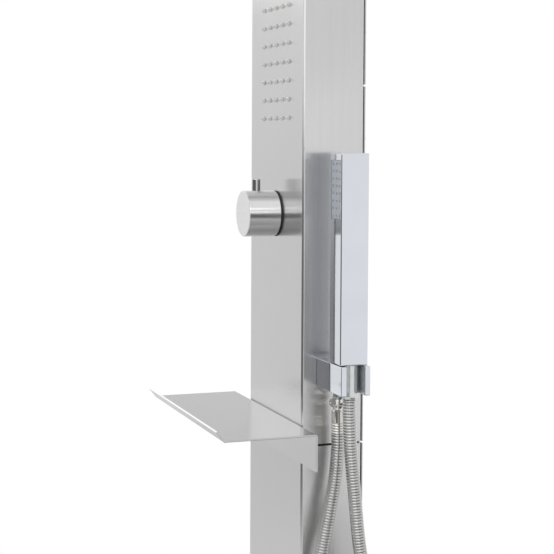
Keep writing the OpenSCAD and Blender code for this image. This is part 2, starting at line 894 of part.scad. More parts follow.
// Elbow that is screwed onto the holder's tail and clamps the column's side
module hand_elbow() {
    color("goldenrod") difference() {
        union() {
            bar_z(hand_pipe_x, pipe_y, holder_z, holder_z + port_drop + socket_in, socket_d);
            bar_x(hand_pipe_x - socket_d / 2 - elbow_end, inner_x, pipe_y, holder_z, socket_d + 1);
        }
        socket_hole(hand_pipe_x, holder_z + port_drop, holder_z + port_drop + socket_in + 1);
        bar_z(hand_pipe_x, pipe_y, holder_z, holder_z + port_drop + 1, cross_d);
        bar_x(hand_pipe_x, inner_x + 1, pipe_y, holder_z, tail_d);
    }
}

module at_studs() {
    for (x = [-stud_pitch, 0, stud_pitch]) translate([x, 0, shelf_z - stud_drop]) children();
}

// Folded shelf: a flange down the column's front, a tray and a raised front lip
module shelf() {
    y1 = front_y;
    y0 = y1 - shelf_d;
    slope = norm([lip_out, lip_up]);
    nx = shelf_t * lip_up / slope;
    nz = shelf_t * lip_out / slope;
    color("silver") translate([shelf_w / 2, 0, 0]) rotate([0, -90, 0]) linear_extrude(shelf_w) polygon([
        [shelf_z - flange_h, y1], [shelf_z - flange_h, y1 - shelf_t], [shelf_z - shelf_t, y1 - shelf_t],
        [shelf_z - shelf_t, y0 - nx * 0.4], [shelf_z + lip_up - nz, y0 - lip_out - nx],
        [shelf_z + lip_up, y0 - lip_out], [shelf_z, y0 + nx * 0.4], [shelf_z, y1]
    ]);
}

module shelf_studs() {
    color("gainsboro") at_studs() bar_y(0, 0, front_y, inner_front + 12, stud_d);
}

module shelf_nuts() {
    y0 = inner_front + ring_play + ring_t;
    color("gainsboro") at_studs() difference() {
        translate([0, y0, 0]) rotate([-90, 0, 0]) cylinder(h = stud_d * 0.8, d = stud_d * 1.8, $fn = 6);
        bar_y(0, 0, y0 - 1, y0 + stud_d, stud_d);
    }
}

// Square block flush with the column, with a slot that is open outwards, a threaded tail and a water way
module holder() {
    color("gainsboro") difference() {
        union() {
            rounded_bar([holder_x0, holder_y0, holder_bottom], [holder_l, holder_y, holder_h], holder_r);
            bar_x(hand_pipe_x + socket_d / 2 + 1, holder_x0 + 1, pipe_y, holder_z, tail_d);
        }
        bar_z(slot_x, acc_y, holder_bottom - 1, holder_top + 1, 2 * slot_r);
        block([slot_x, acc_y - slot_r, holder_bottom - 1], [holder_x1 + 1, acc_y + slot_r, holder_top + 1]);
        bar_x(hand_pipe_x, outlet_x, pipe_y, holder_z, hose_bore);
        bar_y(outlet_x, holder_z, acc_y, pipe_y, hose_bore);
        bar_z(outlet_x, acc_y, holder_bottom - 1, holder_z, hose_bore);
    }
}

// Thin square seal that stops short of the holder's edges
module holder_gasket() {
    color("black") difference() {
        block([side_x, holder_y0 + seal_in, holder_bottom + seal_in],
              [holder_x0, holder_y0 + holder_y - seal_in, holder_top - seal_in]);
        bar_x(side_x - 1, holder_x0 + 1, pipe_y, holder_z, tail_d);
    }
}

// Round outlet under the holder: a ball with a neck above and below
module outlet_ball() {
    color("gainsboro") difference() {
        union() {
            translate([outlet_x, acc_y, ball_z]) sphere(d = ball_d);
            bar_z(outlet_x, acc_y, nut_top, holder_bottom, neck_d);
        }
        bar_z(outlet_x, acc_y, nut_top - 1, holder_bottom + 1, hose_bore);
    }
}

module outlet_nut() {
    color("gainsboro") difference() {
        bar_z(outlet_x, acc_y, collar_top, nut_top, nut_d);
        bar_z(outlet_x, acc_y, collar_top - 1, nut_top + 1, hose_bore);
    }
}

// Crimped collar with three shallow grooves
module outlet_collar() {
    r = hose_d / 2;
    step = collar_l / 7;
    color("silver") translate([outlet_x, acc_y, hose_start]) difference() {
        rotate_extrude() polygon([
            [hose_bore / 2, 0], [r, 0], [r, step], [r - 0.6, step], [r - 0.6, 2 * step], [r, 2 * step],
            [r, 3 * step], [r - 0.6, 3 * step], [r - 0.6, 4 * step], [r, 4 * step], [r, 5 * step],
            [r - 0.6, 5 * step], [r - 0.6, 6 * step], [r, 6 * step], [r, 7 * step], [hose_bore / 2, 7 * step]
        ]);
    }
}

// Whole route of the hose, from the outlet's collar to the hand shower's nut
hose_route = let (
        ends = [[outlet_x, acc_y, hose_start], [slot_x, acc_y, hose_end]],
        knots = concat([ends[0] - [0, 0, hose_d]], hose_loop, [ends[1] - [0, 0, hose_d]]),
        curve = [for (t = [0:0.05:len(knots) - 1 - eps]) spline(knots, t)]
    ) concat([ends[0], ends[0] - [0, 0, hose_d / 2]], curve, [ends[1] - [0, 0, hose_d], ends[1]]);
hose_length = running(hose_route)[len(hose_route) - 1];
hose_gap = least_gap(even(hose_route, 150), 12) - hose_d;

// Ribbed tube along the route, with a smooth bore
module hose() {
    sides = 8;
    outer = even(hose_route, 2 * rib_count);
    inner = even(hose_route, 60);
    outer_rings = [for (i = [0:len(outer) - 1])
        ring(outer[i], i == 0 || i == len(outer) - 1 ? [0, 0, i == 0 ? -1 : 1] : heading(outer, i),
             hose_d / 2 - (i % 2 == 0 ? rib_depth : 0), sides)];
    inner_rings = [for (i = [0:len(inner) - 1])
        ring(inner[i], i == 0 || i == len(inner) - 1 ? [0, 0, i == 0 ? -1 : 1] : heading(inner, i),
             hose_bore / 2, sides)];
    first = sides * len(outer_rings);
    last = first + sides * (len(inner_rings) - 1);
    points = [for (r = concat(outer_rings, inner_rings)) each r];
    faces = concat(
        [for (i = [0:len(outer_rings) - 2]) each skin(sides * i, sides * (i + 1), sides)],
        [for (i = [0:len(inner_rings) - 2]) each skin(first + sides * (i + 1), first + sides * i, sides)],
        skin(first, 0, sides),
        skin(first - sides, last, sides)
    );
    color("lightgray") polyhedron(points, faces);
    echo(hose_length = hose_length, hose_gap = hose_gap);
}

// Round nut that joins the hose to the hand shower and sits in the holder's slot
module hand_nut() {
    r = cone_d / 2;
    color("gainsboro") translate([slot_x, acc_y, cone_bottom]) rotate_extrude() polygon([
        [hose_bore / 2, 0], [r - 1.2, 0], [r - 0.4, 1.5], [r, 4], [r, cone_l], [hose_bore / 2, cone_l]
    ]);
}

// Hollow square stick with a floor, a window for the pad and a hole for the water
module hand_body() {
    size = [stick_x, stick_y, stick_h - stick_t];
    low = [stick_x0, acc_y - stick_y / 2, stick_z];
    wall = [stick_t, stick_t, stick_t];
    color("gainsboro") difference() {
        rounded_bar(low, size, stick_r);
        block(low + wall, low + size - [stick_t, stick_t, -1]);
        pad_block(0.05, 1, 1);
        bar_z(slot_x, acc_y, stick_z - 1, stick_z + stick_t + 1, hose_bore);
    }
}

// The space of the spray pad, with play round it and more depth at either face
module pad_block(play, before, behind) {
    z1 = stick_top - pad_drop;
    y0 = acc_y - stick_y / 2;
    block([stick_cx - pad_w / 2 - play, y0 - before, z1 - pad_h - play],
          [stick_cx + pad_w / 2 + play, y0 + pad_t + behind, z1 + play]);
}

module hand_cap() {
    color("gainsboro") rounded_bar([stick_x0, acc_y - stick_y / 2, stick_top - stick_t],
                                   [stick_x, stick_y, stick_t], stick_r);
}

module at_pad() {
    pitch = pad_h / pad_rows;
    translate([stick_cx, 0, stick_top - pad_drop - pad_h / 2])
        for (i = [0:pad_cols - 1]) for (j = [0:pad_rows - 1])
            translate([(i - (pad_cols - 1) / 2) * pad_w / pad_cols, 0, (j - (pad_rows - 1) / 2) * pitch])
                children();
}

module hand_pad() {
    y0 = acc_y - stick_y / 2;
    color("lightslategray") difference() {
        union() {
            pad_block(0, 0, 0);
            block([stick_cx - pad_w / 2 - 1.5, y0 + stick_t, stick_top - pad_drop - pad_h - 1.5],
                  [stick_cx + pad_w / 2 + 1.5, y0 + stick_t + pad_t, stick_top - pad_drop + 1.5]);
        }
        at_pad() bar_y(0, 0, y0 - 1, y0 + stick_t + pad_t + 1, pad_nozzle_d);
    }
}

module hand_nozzles() {
    y0 = acc_y - stick_y / 2;
    color("slategray") at_pad() difference() {
        bar_y(0, 0, y0 - 0.8, y0 + stick_t + pad_t, pad_nozzle_d);
        bar_y(0, 0, y0 - 2, y0 + stick_t + pad_t + 1, pad_nozzle_d - 1.4);
    }
}

floor_plate();
upstand();
upstand_rivets();
lower_channel();
lower_cover();
lower_cover_screws();
inlet_shelf();
hot_inlet();
cold_inlet();
joining_sleeve();
sleeve_rivets();
upper_channel();
middle_cover();
upper_cover();
upper_cover_screws();
top_frame();
arm_shell();
arm_floor();
arm_screws();
rain_plate();
rain_nozzles();
rain_chamber();
head_pipe();
jet_box();
jets();
jet_pipe();
mixer_body();
mixer_cartridge();
mixer_gasket();
mixer_spindle();
mixer_knob();
mixer_pin();
diverter_body();
diverter_cartridge();
diverter_gasket();
diverter_spindle();
diverter_knob();
diverter_pin();
hot_riser();
cold_riser();
mixed_pipe();
hand_pipe();
hand_elbow();
shelf();
shelf_studs();
shelf_nuts();
holder();
holder_gasket();
outlet_ball();
outlet_nut();
outlet_collar();
hose();
hand_nut();
hand_body();
hand_cap();
hand_pad();
hand_nozzles();
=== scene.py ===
"""Outdoor shower column of folded brushed steel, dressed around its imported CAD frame."""

import json
import logging
import math
from dataclasses import dataclass, field
from enum import Enum

import bmesh
import bpy
from mathutils import Matrix, Vector


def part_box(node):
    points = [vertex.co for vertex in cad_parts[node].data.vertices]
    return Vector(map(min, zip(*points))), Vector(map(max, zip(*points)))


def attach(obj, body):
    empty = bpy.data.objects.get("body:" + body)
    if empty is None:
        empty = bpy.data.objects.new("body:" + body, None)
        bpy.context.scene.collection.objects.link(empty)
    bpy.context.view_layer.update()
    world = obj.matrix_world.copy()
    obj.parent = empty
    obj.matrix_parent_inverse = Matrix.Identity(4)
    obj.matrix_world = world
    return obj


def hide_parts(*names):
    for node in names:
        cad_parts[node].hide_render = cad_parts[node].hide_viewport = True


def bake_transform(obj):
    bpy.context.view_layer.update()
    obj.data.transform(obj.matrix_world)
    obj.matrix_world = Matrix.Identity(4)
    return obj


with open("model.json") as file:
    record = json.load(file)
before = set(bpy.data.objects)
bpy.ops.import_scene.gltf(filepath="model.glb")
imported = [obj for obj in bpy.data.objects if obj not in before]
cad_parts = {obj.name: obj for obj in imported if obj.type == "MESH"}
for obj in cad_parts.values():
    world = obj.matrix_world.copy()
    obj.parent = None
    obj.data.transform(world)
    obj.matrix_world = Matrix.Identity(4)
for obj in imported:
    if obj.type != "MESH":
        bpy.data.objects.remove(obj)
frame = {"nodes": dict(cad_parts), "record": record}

log = logging.getLogger("shower")
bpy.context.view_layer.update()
MM = 0.001
GRAIN_MAP = "Grain"
# Points closer than this, in metres, are one
WELD = 1e-6
# Radians between two faces from which an edge is broken or rounded
SHARP_EDGE = 0.7
# Most of a noise lies between these two values
NOISE_SPAN = (0.3, 0.7)
# Radius of the water's way through nuts and collar
BORE = 4 * MM


class Axis(Enum):
    """The row frame's three directions."""

    X = (1.0, 0.0, 0.0)
    Y = (0.0, 1.0, 0.0)
    Z = (0.0, 0.0, 1.0)

    @property
    def vector(self) -> Vector:
        """The direction as a vector."""
        return Vector(self.value)


def linear(code: str) -> tuple[float, float, float, float]:
    """Turn a colour into Blender's linear values.

    Args:
        code: an sRGB hex colour such as #c0c0c0.

    Returns:
        Linear red, green and blue, with an alpha of 1.
    """
    shares = [int(code[i : i + 2], 16) / 255 for i in (1, 3, 5)]
    return (*[s / 12.92 if s <= 0.04045 else ((s + 0.055) / 1.055) ** 2.4 for s in shares], 1.0)


def add_node(
    tree: bpy.types.NodeTree, kind: str, settings: dict | None = None, links: dict | None = None
) -> bpy.types.Node:
    """Add one node to a tree.

    Args:
        tree: the material's, world's or geometry tree.
        kind: Blender's name for the node.
        settings: the node's own properties.
        links: for each input's name or number, the socket it is linked to or the value it gets.

    Returns:
        The new node.
    """
    node = tree.nodes.new(kind)
    for name, value in (settings or {}).items():
        setattr(node, name, value)
    for key, value in (links or {}).items():
        if isinstance(value, bpy.types.NodeSocket):
            tree.links.new(value, node.inputs[key])
        else:
            node.inputs[key].default_value = value
    return node


def scaled_range(
    tree: bpy.types.NodeTree, value: bpy.types.NodeSocket, low: float, high: float
) -> bpy.types.NodeSocket:
    """Map a noise's usual span to a range.

    Args:
        tree: the tree that it stands in.
        value: the noise's output.
        low: what the span's lower end becomes.
        high: what its upper end becomes.

    Returns:
        The mapped output.
    """
    ends = {"Value": value, "From Min": NOISE_SPAN[0], "From Max": NOISE_SPAN[1],
            "To Min": low, "To Max": high}
    return add_node(tree, "ShaderNodeMapRange", None, ends).outputs["Result"]


def show(name: str, data: bpy.types.ID) -> bpy.types.Object:
    """Put a mesh, a curve, a lamp or a camera in the scene as an object."""
    made = bpy.data.objects.new(name, data)
    bpy.context.scene.collection.objects.link(made)
    return made


def baked(piece: bpy.types.Object, name: str) -> bpy.types.Mesh:
    """Keep what an object's modifiers make of it as a plain mesh, and drop the object.

    Args:
        piece: the object.
        name: the new mesh's name.

    Returns:
        The mesh.
    """
    shown = piece.evaluated_get(bpy.context.evaluated_depsgraph_get())
    mesh = bpy.data.meshes.new_from_object(shown)
    mesh.name = name
    bpy.data.objects.remove(piece)
    return mesh


@dataclass(frozen=True)
class Finish:
    """What every finish has: a name, a colour and how rough it is.

    The pattern is a noise of the given size in millimetres that moves colour and roughness.
    """

    name: str
    colour: str
    roughness: float
    metallic: float = 0.0
    pattern_mm: tuple[float, float, float] = (2.0, 2.0, 2.0)
    contrast: float = 0.06
    rough_span: float = 0.05
    bump_mm: float = 0.0
    detail: float = 3.0

    def coordinates(self, tree: bpy.types.NodeTree) -> bpy.types.NodeSocket:
        """Give the coordinates that the pattern is laid on, in metres."""
        return add_node(tree, "ShaderNodeTexCoord").outputs["Object"]

    def noise(
        self, tree: bpy.types.NodeTree, size_mm: tuple, detail: float, shift: float = 0.0
    ) -> bpy.types.NodeSocket:
        """Lay a noise on the piece.

        Args:
            tree: the material's tree.
            size_mm: size of one grain along the three coordinates.
            detail: octaves of finer noise.
            shift: moves the noise, so that two layers differ.

        Returns:
            The noise's output.
        """
        scale = tuple(1.0 / (s * MM) for s in size_mm)
        mapping = {"Vector": self.coordinates(tree), "Scale": scale, "Location": (shift, shift, shift)}
        placed = add_node(tree, "ShaderNodeMapping", None, mapping).outputs["Vector"]
        grains = {"Vector": placed, "Scale": 1.0, "Detail": detail}
        return add_node(tree, "ShaderNodeTexNoise", None, grains).outputs[0]

    def shaded(self, tree: bpy.types.NodeTree, value: bpy.types.NodeSocket) -> bpy.types.NodeSocket:
        """Lighten and darken the base colour by a noise.

        Args:
            tree: the material's tree.
            value: the noise.

        Returns:
            The colour output.
        """
        factor = scaled_range(tree, value, 0.0, 1.0)
        base = linear(self.colour)
        dark = tuple(c * (1 - self.contrast) for c in base[:3]) + (1.0,)
        light = tuple(min(1.0, c * (1 + self.contrast)) for c in base[:3]) + (1.0,)
        mix = {0: factor, 6: dark, 7: light}
        return add_node(tree, "ShaderNodeMix", {"data_type": "RGBA"}, mix).outputs[2]

    def vary(self, tree: bpy.types.NodeTree, shader: bpy.types.Node, value: bpy.types.NodeSocket) -> None:
        """Let a noise move the shader's colour and roughness.

        Args:
            tree: the material's tree.
            shader: its Principled BSDF.
            value: the noise.
        """
        tree.links.new(self.shaded(tree, value), shader.inputs["Base Color"])
        low, high = self.roughness - self.rough_span, self.roughness + self.rough_span
        tree.links.new(scaled_range(tree, value, low, high), shader.inputs["Roughness"])

    def dress(self, tree: bpy.types.NodeTree, shader: bpy.types.Node) -> None:
        """Link the pattern to the shader.

        Args:
            tree: the material's tree.
            shader: its Principled BSDF.
        """
        value = self.noise(tree, self.pattern_mm, self.detail)
        self.vary(tree, shader, value)
        if self.bump_mm:
            bump = {"Height": value, "Distance": self.bump_mm * MM, "Strength": 1.0}
            normal = add_node(tree, "ShaderNodeBump", None, bump).outputs["Normal"]
            tree.links.new(normal, shader.inputs["Normal"])

    def material(self) -> bpy.types.Material:
        """Make the finish's material, or give it back where it has been made.

        Returns:
            The material.
        """
        found = bpy.data.materials.get(self.name)
        if found is not None:
            return found
        made = bpy.data.materials.new(self.name)
        made.use_nodes = True
        made.diffuse_color = linear(self.colour)
        shader = made.node_tree.nodes["Principled BSDF"]
        shader.inputs["Metallic"].default_value = self.metallic
        self.dress(made.node_tree, shader)
        return made


@dataclass(frozen=True)
class BrushedMetal(Finish):
    """Metal with a one-way grain, which spreads what it mirrors across the grain.

    The grain is laid on the Grain map, whose U runs across it.
    """

    metallic: float = 1.0
    anisotropy: float = 0.8
    streak_mm: tuple[float, float] = (9.0, 700.0)
    streaks: float = 0.5
    cloud_mm: float = 120.0
    clouds: float = 0.45

    def coordinates(self, tree: bpy.types.NodeTree) -> bpy.types.NodeSocket:
        """Give the Grain map's coordinates."""
        return add_node(tree, "ShaderNodeUVMap", {"uv_map": GRAIN_MAP}).outputs["UV"]

    def dress(self, tree: bpy.types.NodeTree, shader: bpy.types.Node) -> None:
        """Link fine scratches, wide streaks and soft clouds to the shader.

        Args:
            tree: the material's tree.
            shader: its Principled BSDF.
        """
        value = self.noise(tree, self.pattern_mm, self.detail)
        layers = ((self.streaks, (*self.streak_mm, 1000.0), 3.7),
                  (self.clouds, (self.cloud_mm,) * 3, 9.1))
        for share, size_mm, shift in layers:
            mix = {0: share, 2: value, 3: self.noise(tree, size_mm, 2.0, shift)}
            value = add_node(tree, "ShaderNodeMix", {"data_type": "FLOAT"}, mix).outputs[0]
        self.vary(tree, shader, value)
        shader.inputs["Anisotropic"].default_value = self.anisotropy
        across = add_node(tree, "ShaderNodeTangent", {"direction_type": "UV_MAP", "uv_map": GRAIN_MAP})
        tree.links.new(across.outputs["Tangent"], shader.inputs["Tangent"])


class Finishes:
    """Every finish on the shower, by what the real thing is made of."""

    # Stainless sheet, belt-ground along its length: vertical scratches about 0.2 mm wide, drawn
    # 1.5 mm wide so that they show; it mirrors sharply up and down and softly from side to side
    sheet = BrushedMetal("stainless_sheet_brushed", "#cccccc", 0.22, pattern_mm=(1.5, 160.0, 100.0),
                         contrast=0.045, rough_span=0.02, anisotropy=0.8)
    # The same sheet in the covers behind, with a coarser belt
    cover = BrushedMetal("stainless_cover_brushed", "#b9b9b9", 0.38, pattern_mm=(2.0, 120.0, 100.0),
                         contrast=0.06, rough_span=0.04, anisotropy=0.8)
    # The shelf's sheet, ground along its length with a finer belt: greyer and more even
    satin = BrushedMetal("stainless_sheet_satin", "#bebebe", 0.17, pattern_mm=(1.2, 160.0, 100.0),
                         contrast=0.025, rough_span=0.02, anisotropy=0.8)
    # Stainless bar turned on a lathe: fine rings round the axis, drawn 0.8 mm wide
    turned = BrushedMetal("stainless_bar_turned", "#d3d3d3", 0.34, pattern_mm=(0.8, 400.0, 100.0),
                          contrast=0.05, rough_span=0.02, anisotropy=1.0, streak_mm=(3.0, 900.0))
    # Stainless bar, turned and buffed: mirror-like, with a trace of its rings
    buffed = BrushedMetal("stainless_bar_buffed", "#c6c6c6", 0.12, pattern_mm=(0.6, 300.0, 100.0),
                          contrast=0.04, rough_span=0.02, anisotropy=0.5, streak_mm=(3.0, 900.0))
    # Polished stainless pins of the knobs: nearly a mirror, dark where the room is dark
    polished = Finish("stainless_pin_polished", "#c2c2c2", 0.04, metallic=1.0,
                      pattern_mm=(20.0, 20.0, 20.0), contrast=0.02, rough_span=0.01)
    # Hot-rolled and pickled stainless plate inside: dull, cloudy, matt grey
    plate = Finish("stainless_plate_pickled", "#9d9d9d", 0.5, metallic=1.0,
                   pattern_mm=(14.0, 14.0, 14.0), contrast=0.12, rough_span=0.1, bump_mm=0.02)
    # Chromed brass: mirror finish, slightly blue, with a faint softness from polishing
    chrome = Finish("chromed_brass_polished", "#d3d7dd", 0.06, metallic=1.0,
                    pattern_mm=(40.0, 40.0, 40.0), contrast=0.02, rough_span=0.015)
    # Nickelled brass of the outlet: a mirror finish, greyer and warmer than chrome
    nickel = Finish("nickelled_brass_polished", "#cfcdc8", 0.14, metallic=1.0,
                    pattern_mm=(20.0, 20.0, 20.0), contrast=0.03, rough_span=0.02)
    # The same plating on the small elbow, buffed: nearly white
    bright = Finish("nickelled_brass_buffed", "#dcdbd8", 0.1, metallic=1.0,
                    pattern_mm=(20.0, 20.0, 20.0), contrast=0.02, rough_span=0.02)
    # Thin plating over cast brass, in the holder's slot and on the nut: satin, with a diffuse share that is
    # painted light, so that it never goes quite black
    plated = Finish("thin_plating_satin", "#d8dadc", 0.22, metallic=0.75,
                    pattern_mm=(8.0, 8.0, 8.0), contrast=0.04, rough_span=0.03)
    # Spiral-wound chromed steel strip of the hose: bright crests
    wound = Finish("chromed_strip_wound", "#b6b6b5", 0.2, metallic=1.0,
                   pattern_mm=(6.0, 6.0, 6.0), contrast=0.08, rough_span=0.05)
    # Stainless screws, turned and passivated
    screws = Finish("stainless_screws_turned", "#b4b4b4", 0.3, metallic=1.0,
                    pattern_mm=(1.5, 1.5, 1.5), contrast=0.08, rough_span=0.06)
    # Sleeve coloured black as painted shade, so that the seam between the sections is a dark line
    mastic = Finish("mastic_black_brushed", "#141415", 0.7, pattern_mm=(4.0, 4.0, 4.0), contrast=0.2,
                    rough_span=0.08, bump_mm=0.1)
    # Drawn copper tube that has been handled: brown clouds about 30 mm wide
    copper = Finish("copper_tube_drawn", "#b8734f", 0.34, metallic=1.0,
                    pattern_mm=(30.0, 30.0, 60.0), contrast=0.2, rough_span=0.12)
    # Machined brass, dezincified and dull
    brass = Finish("brass_machined", "#b79a5c", 0.32, metallic=1.0,
                   pattern_mm=(3.0, 3.0, 3.0), contrast=0.08, rough_span=0.08)
    # Moulded acetal, off white
    acetal = Finish("acetal_moulded", "#dcd8cc", 0.42, pattern_mm=(5.0, 5.0, 5.0), contrast=0.03)
    # Nitrile rubber, black and matt, with a fine moulded grain
    rubber = Finish("nitrile_rubber_moulded", "#1d1d1e", 0.6, pattern_mm=(0.6, 0.6, 0.6),
                    contrast=0.2, rough_span=0.08, bump_mm=0.02)
    # Silicone of the jets, pale and soft
    silicone = Finish("silicone_pale_moulded", "#efefed", 0.34, pattern_mm=(1.0, 1.0, 1.0),
                      contrast=0.08, rough_span=0.06)
    # Spray pad of the hand shower, blue-grey soft plastic
    pad = Finish("elastomer_pad_moulded", "#a9b0b7", 0.42, pattern_mm=(1.2, 1.2, 1.2),
                 contrast=0.06, rough_span=0.06, bump_mm=0.01)


SLOT_FINISH = {
    "brushed_steel": Finishes.plate, "cover_steel": Finishes.plate, "plate_steel": Finishes.plate,
    "satin_steel": Finishes.plate, "fixings": Finishes.screws, "copper_pipe": Finishes.copper,
    "brass": Finishes.brass, "cartridge_plastic": Finishes.acetal, "gasket_rubber": Finishes.rubber,
    "silicone": Finishes.silicone, "chrome": Finishes.chrome, "hose_metal": Finishes.wound,
    "spray_pad": Finishes.pad,
}


def break_edges(work: bmesh.types.BMesh, width_mm: float, segments: int) -> None:
    """Break or round the sharp edges of a mesh in work.

    Args:
        work: the mesh.
        width_mm: of the broken edge.
        segments: facets across it.
    """
    sharp = [e for e in work.edges if len(e.link_faces) == 2 and e.calc_face_angle(0) > SHARP_EDGE]
    bmesh.ops.bevel(work, geom=sharp, offset=width_mm * MM, offset_type="OFFSET", segments=segments,
                    profile=0.5, affect="EDGES", clamp_overlap=True)


class Form:
    """A mesh under construction, in metres in the row frame."""

    def __init__(self) -> None:
        """Start with no points and no faces."""
        self.points: list[Vector] = []
        self.faces: list[tuple[int, ...]] = []

    def ring(self, points: list[Vector]) -> list[int]:
        """Add points and give their numbers."""
        first = len(self.points)
        self.points += [Vector(p) for p in points]
        return list(range(first, len(self.points)))

    def bridge(self, a: list[int], b: list[int], closed: bool = True) -> None:
        """Join two rings by quads, or a ring and a single point by triangles.

        Args:
            a: numbers of the first ring's points.
            b: numbers of the second's.
            closed: whether the rings close on themselves.
        """
        count = max(len(a), len(b))
        for i in range(count if closed else count - 1):
            j = (i + 1) % count
            corners = [a[i % len(a)], a[j % len(a)], b[j % len(b)], b[i % len(b)]]
            kept = tuple(dict.fromkeys(corners))
            if len(kept) > 2:
                self.faces.append(kept)

    def box(self, low: Vector, high: Vector) -> "Form":
        """Add a box between two corners."""
        base = [(low.x, low.y), (high.x, low.y), (high.x, high.y), (low.x, high.y)]
        under = self.ring([Vector((x, y, low.z)) for x, y in base])
        over = self.ring([Vector((x, y, high.z)) for x, y in base])
        self.bridge(under, over)
        self.faces += [tuple(reversed(under)), tuple(over)]
        return self

    def turned(self, profile: list[tuple], origin: Vector, axis: Axis, sides: int = 64) -> "Form":
        """Add a turned solid.

        Args:
            profile: (radius, distance along the axis) pairs, from one end to the other; it is closed
                through the axis, or through its own first point where it doesn't touch the axis.
            origin: where the distance along the axis is 0.
            axis: the axis it is turned on.
            sides: facets round it.

        Returns:
            The form itself.
        """
        along = axis.vector
        u = Vector((along.y, along.z, along.x))
        v = along.cross(u)
        angles = [2 * math.pi * i / sides for i in range(sides)]
        rings = []
        for radius, height in profile:
            centre = origin + along * height
            if radius < WELD:
                rings.append(self.ring([centre]))
            else:
                rings.append(self.ring([centre + (u * math.cos(a) + v * math.sin(a)) * radius
                                        for a in angles]))
        for a, b in zip(rings[:-1], rings[1:]):
            self.bridge(a, b)
        if profile[0][0] > WELD and profile[-1][0] > WELD:
            self.bridge(rings[-1], rings[0])
        return self

    def strip(self, left: list[Vector], right: list[Vector], travel: Vector) -> "Form":
        """Add folded sheet: the two faces of its section, drawn along one direction.

        Args:
            left: points of the section's one face.
            right: points of its other face, opposite the first.
            travel: from one cut end to the other.

        Returns:
            The form itself.
        """
        ends = [self.ring(left + right[::-1]), self.ring([p + travel for p in left + right[::-1]])]
        self.bridge(ends[0], ends[1])
        count = len(left)
        for end in ends:
            self.bridge(end[:count], end[count:][::-1], closed=False)
        return self

    def prism(self, outline: list[Vector], travel: Vector) -> "Form":
        """Add a solid of one outline, drawn along one direction."""
        ends = [self.ring(outline), self.ring([p + travel for p in outline])]
        self.bridge(ends[0], ends[1])
        self.faces += [tuple(ends[0]), tuple(ends[1])]
        return self

    def joined(self, other: "Form", turn: Matrix, about: Vector) -> "Form":
        """Add another form, turned about a point."""
        first = len(self.points)
        self.points += [turn @ (p - about) + about for p in other.points]
        self.faces += [tuple(first + i for i in face) for face in other.faces]
        return self

    def mesh(self, name: str, bevel_mm: float = 0.0, segments: int = 2) -> bpy.types.Mesh:
        """Close the form and soften its edges.

        Args:
            name: the mesh's name.
            bevel_mm: width of the rounding on sharp edges.
            segments: facets across that rounding.

        Returns:
            The mesh, with its faces pointing outwards.
        """
        made = bpy.data.meshes.new(name)
        made.from_pydata([tuple(p) for p in self.points], [], self.faces)
        work = bmesh.new()
        work.from_mesh(made)
        bmesh.ops.remove_doubles(work, verts=work.verts, dist=WELD)
        bmesh.ops.recalc_face_normals(work, faces=work.faces)
        if bevel_mm:
            break_edges(work, bevel_mm, segments)
            bmesh.ops.recalc_face_normals(work, faces=work.faces)
        work.to_mesh(made)
        work.free()
        return made


def lay_grain(mesh: bpy.types.Mesh, grain: Axis, centre: Vector | None = None) -> None:
    """Give a mesh its Grain map, in metres, with U across the grain and V along it.

    Args:
        mesh: the mesh.
        grain: the grain's direction, or the axis that it runs round.
        centre: a point of that axis, where the piece is turned.
    """
    layer = mesh.uv_layers.new(name=GRAIN_MAP)
    along = grain.vector
    other = Axis.X.vector if grain is not Axis.X else Axis.Z.vector
    end_face_from = 0.7
    # U is measured from the first of the two starts, V from the second
    for face in mesh.polygons:
        flat = abs(face.normal.dot(along)) > end_face_from
        if centre is None or flat:
            way = other if flat else along
            across, starts = face.normal.cross(way), (Vector(), Vector())
        else:
            arm = face.center - centre
            arm -= along * arm.dot(along)
            way = along.cross(arm).normalized() if arm.length > WELD else other
            across, starts = along, (centre, face.center)
        for i in face.loop_indices:
            place = mesh.vertices[mesh.loops[i].vertex_index].co
            layer.data[i].uv = ((place - starts[0]).dot(across), (place - starts[1]).dot(way))


def soft_shade(piece: bpy.types.Object, angle: float = 32) -> None:
    """Shade a piece smooth, with its flat faces kept flat.

    Args:
        piece: the object.
        angle: degrees between faces from which an edge stays sharp.
    """
    mesh = piece.data
    mesh.polygons.foreach_set("use_smooth", [True] * len(mesh.polygons))
    mesh.set_sharp_from_angle(angle=math.radians(angle))
    even = piece.modifiers.new("even_normals", "WEIGHTED_NORMAL")
    even.keep_sharp = True


def bent_sheet(path: list[tuple], thickness: float, radius: float, steps: int = 6) -> tuple[list, list]:
    """Section of bent sheet along a path of straight legs.

    Args:
        path: corners of the sheet's middle line in a plane, in metres.
        thickness: of the sheet.
        radius: of the bends, at the middle line.
        steps: facets in a bend.

    Returns:
        The points of the section's two faces, as pairs of lists of plane vectors.
    """
    corners = [Vector(p) for p in path]
    line = [(corners[0], (corners[1] - corners[0]).normalized())]
    for before, here, after in zip(corners[:-2], corners[1:-1], corners[2:]):
        a, b = (here - before).normalized(), (after - here).normalized()
        turn = a.angle_signed(b)
        reach = radius * math.tan(abs(turn) / 2)
        side = Vector((-a.y, a.x)) * (1 if turn < 0 else -1)
        centre = here - a * reach + side * radius
        for i in range(steps + 1):
            spin = Matrix.Rotation(-turn * i / steps, 2)
            line.append((centre - spin @ side * radius, spin @ a))
    line.append((corners[-1], (corners[-1] - corners[-2]).normalized()))
    half = thickness / 2
    left = [p + Vector((-t.y, t.x)) * half for p, t in line]
    right = [p - Vector((-t.y, t.x)) * half for p, t in line]
    return left, right


def cell_middles(low: float, high: float, count: int) -> list[float]:
    """Middles of equal cells from one end to the other."""
    return [low + (high - low) * (i + 0.5) / count for i in range(count)]


def length_of(line: list[Vector]) -> float:
    """Length of a line through points, in metres."""
    return sum((b - a).length for a, b in zip(line[:-1], line[1:]))


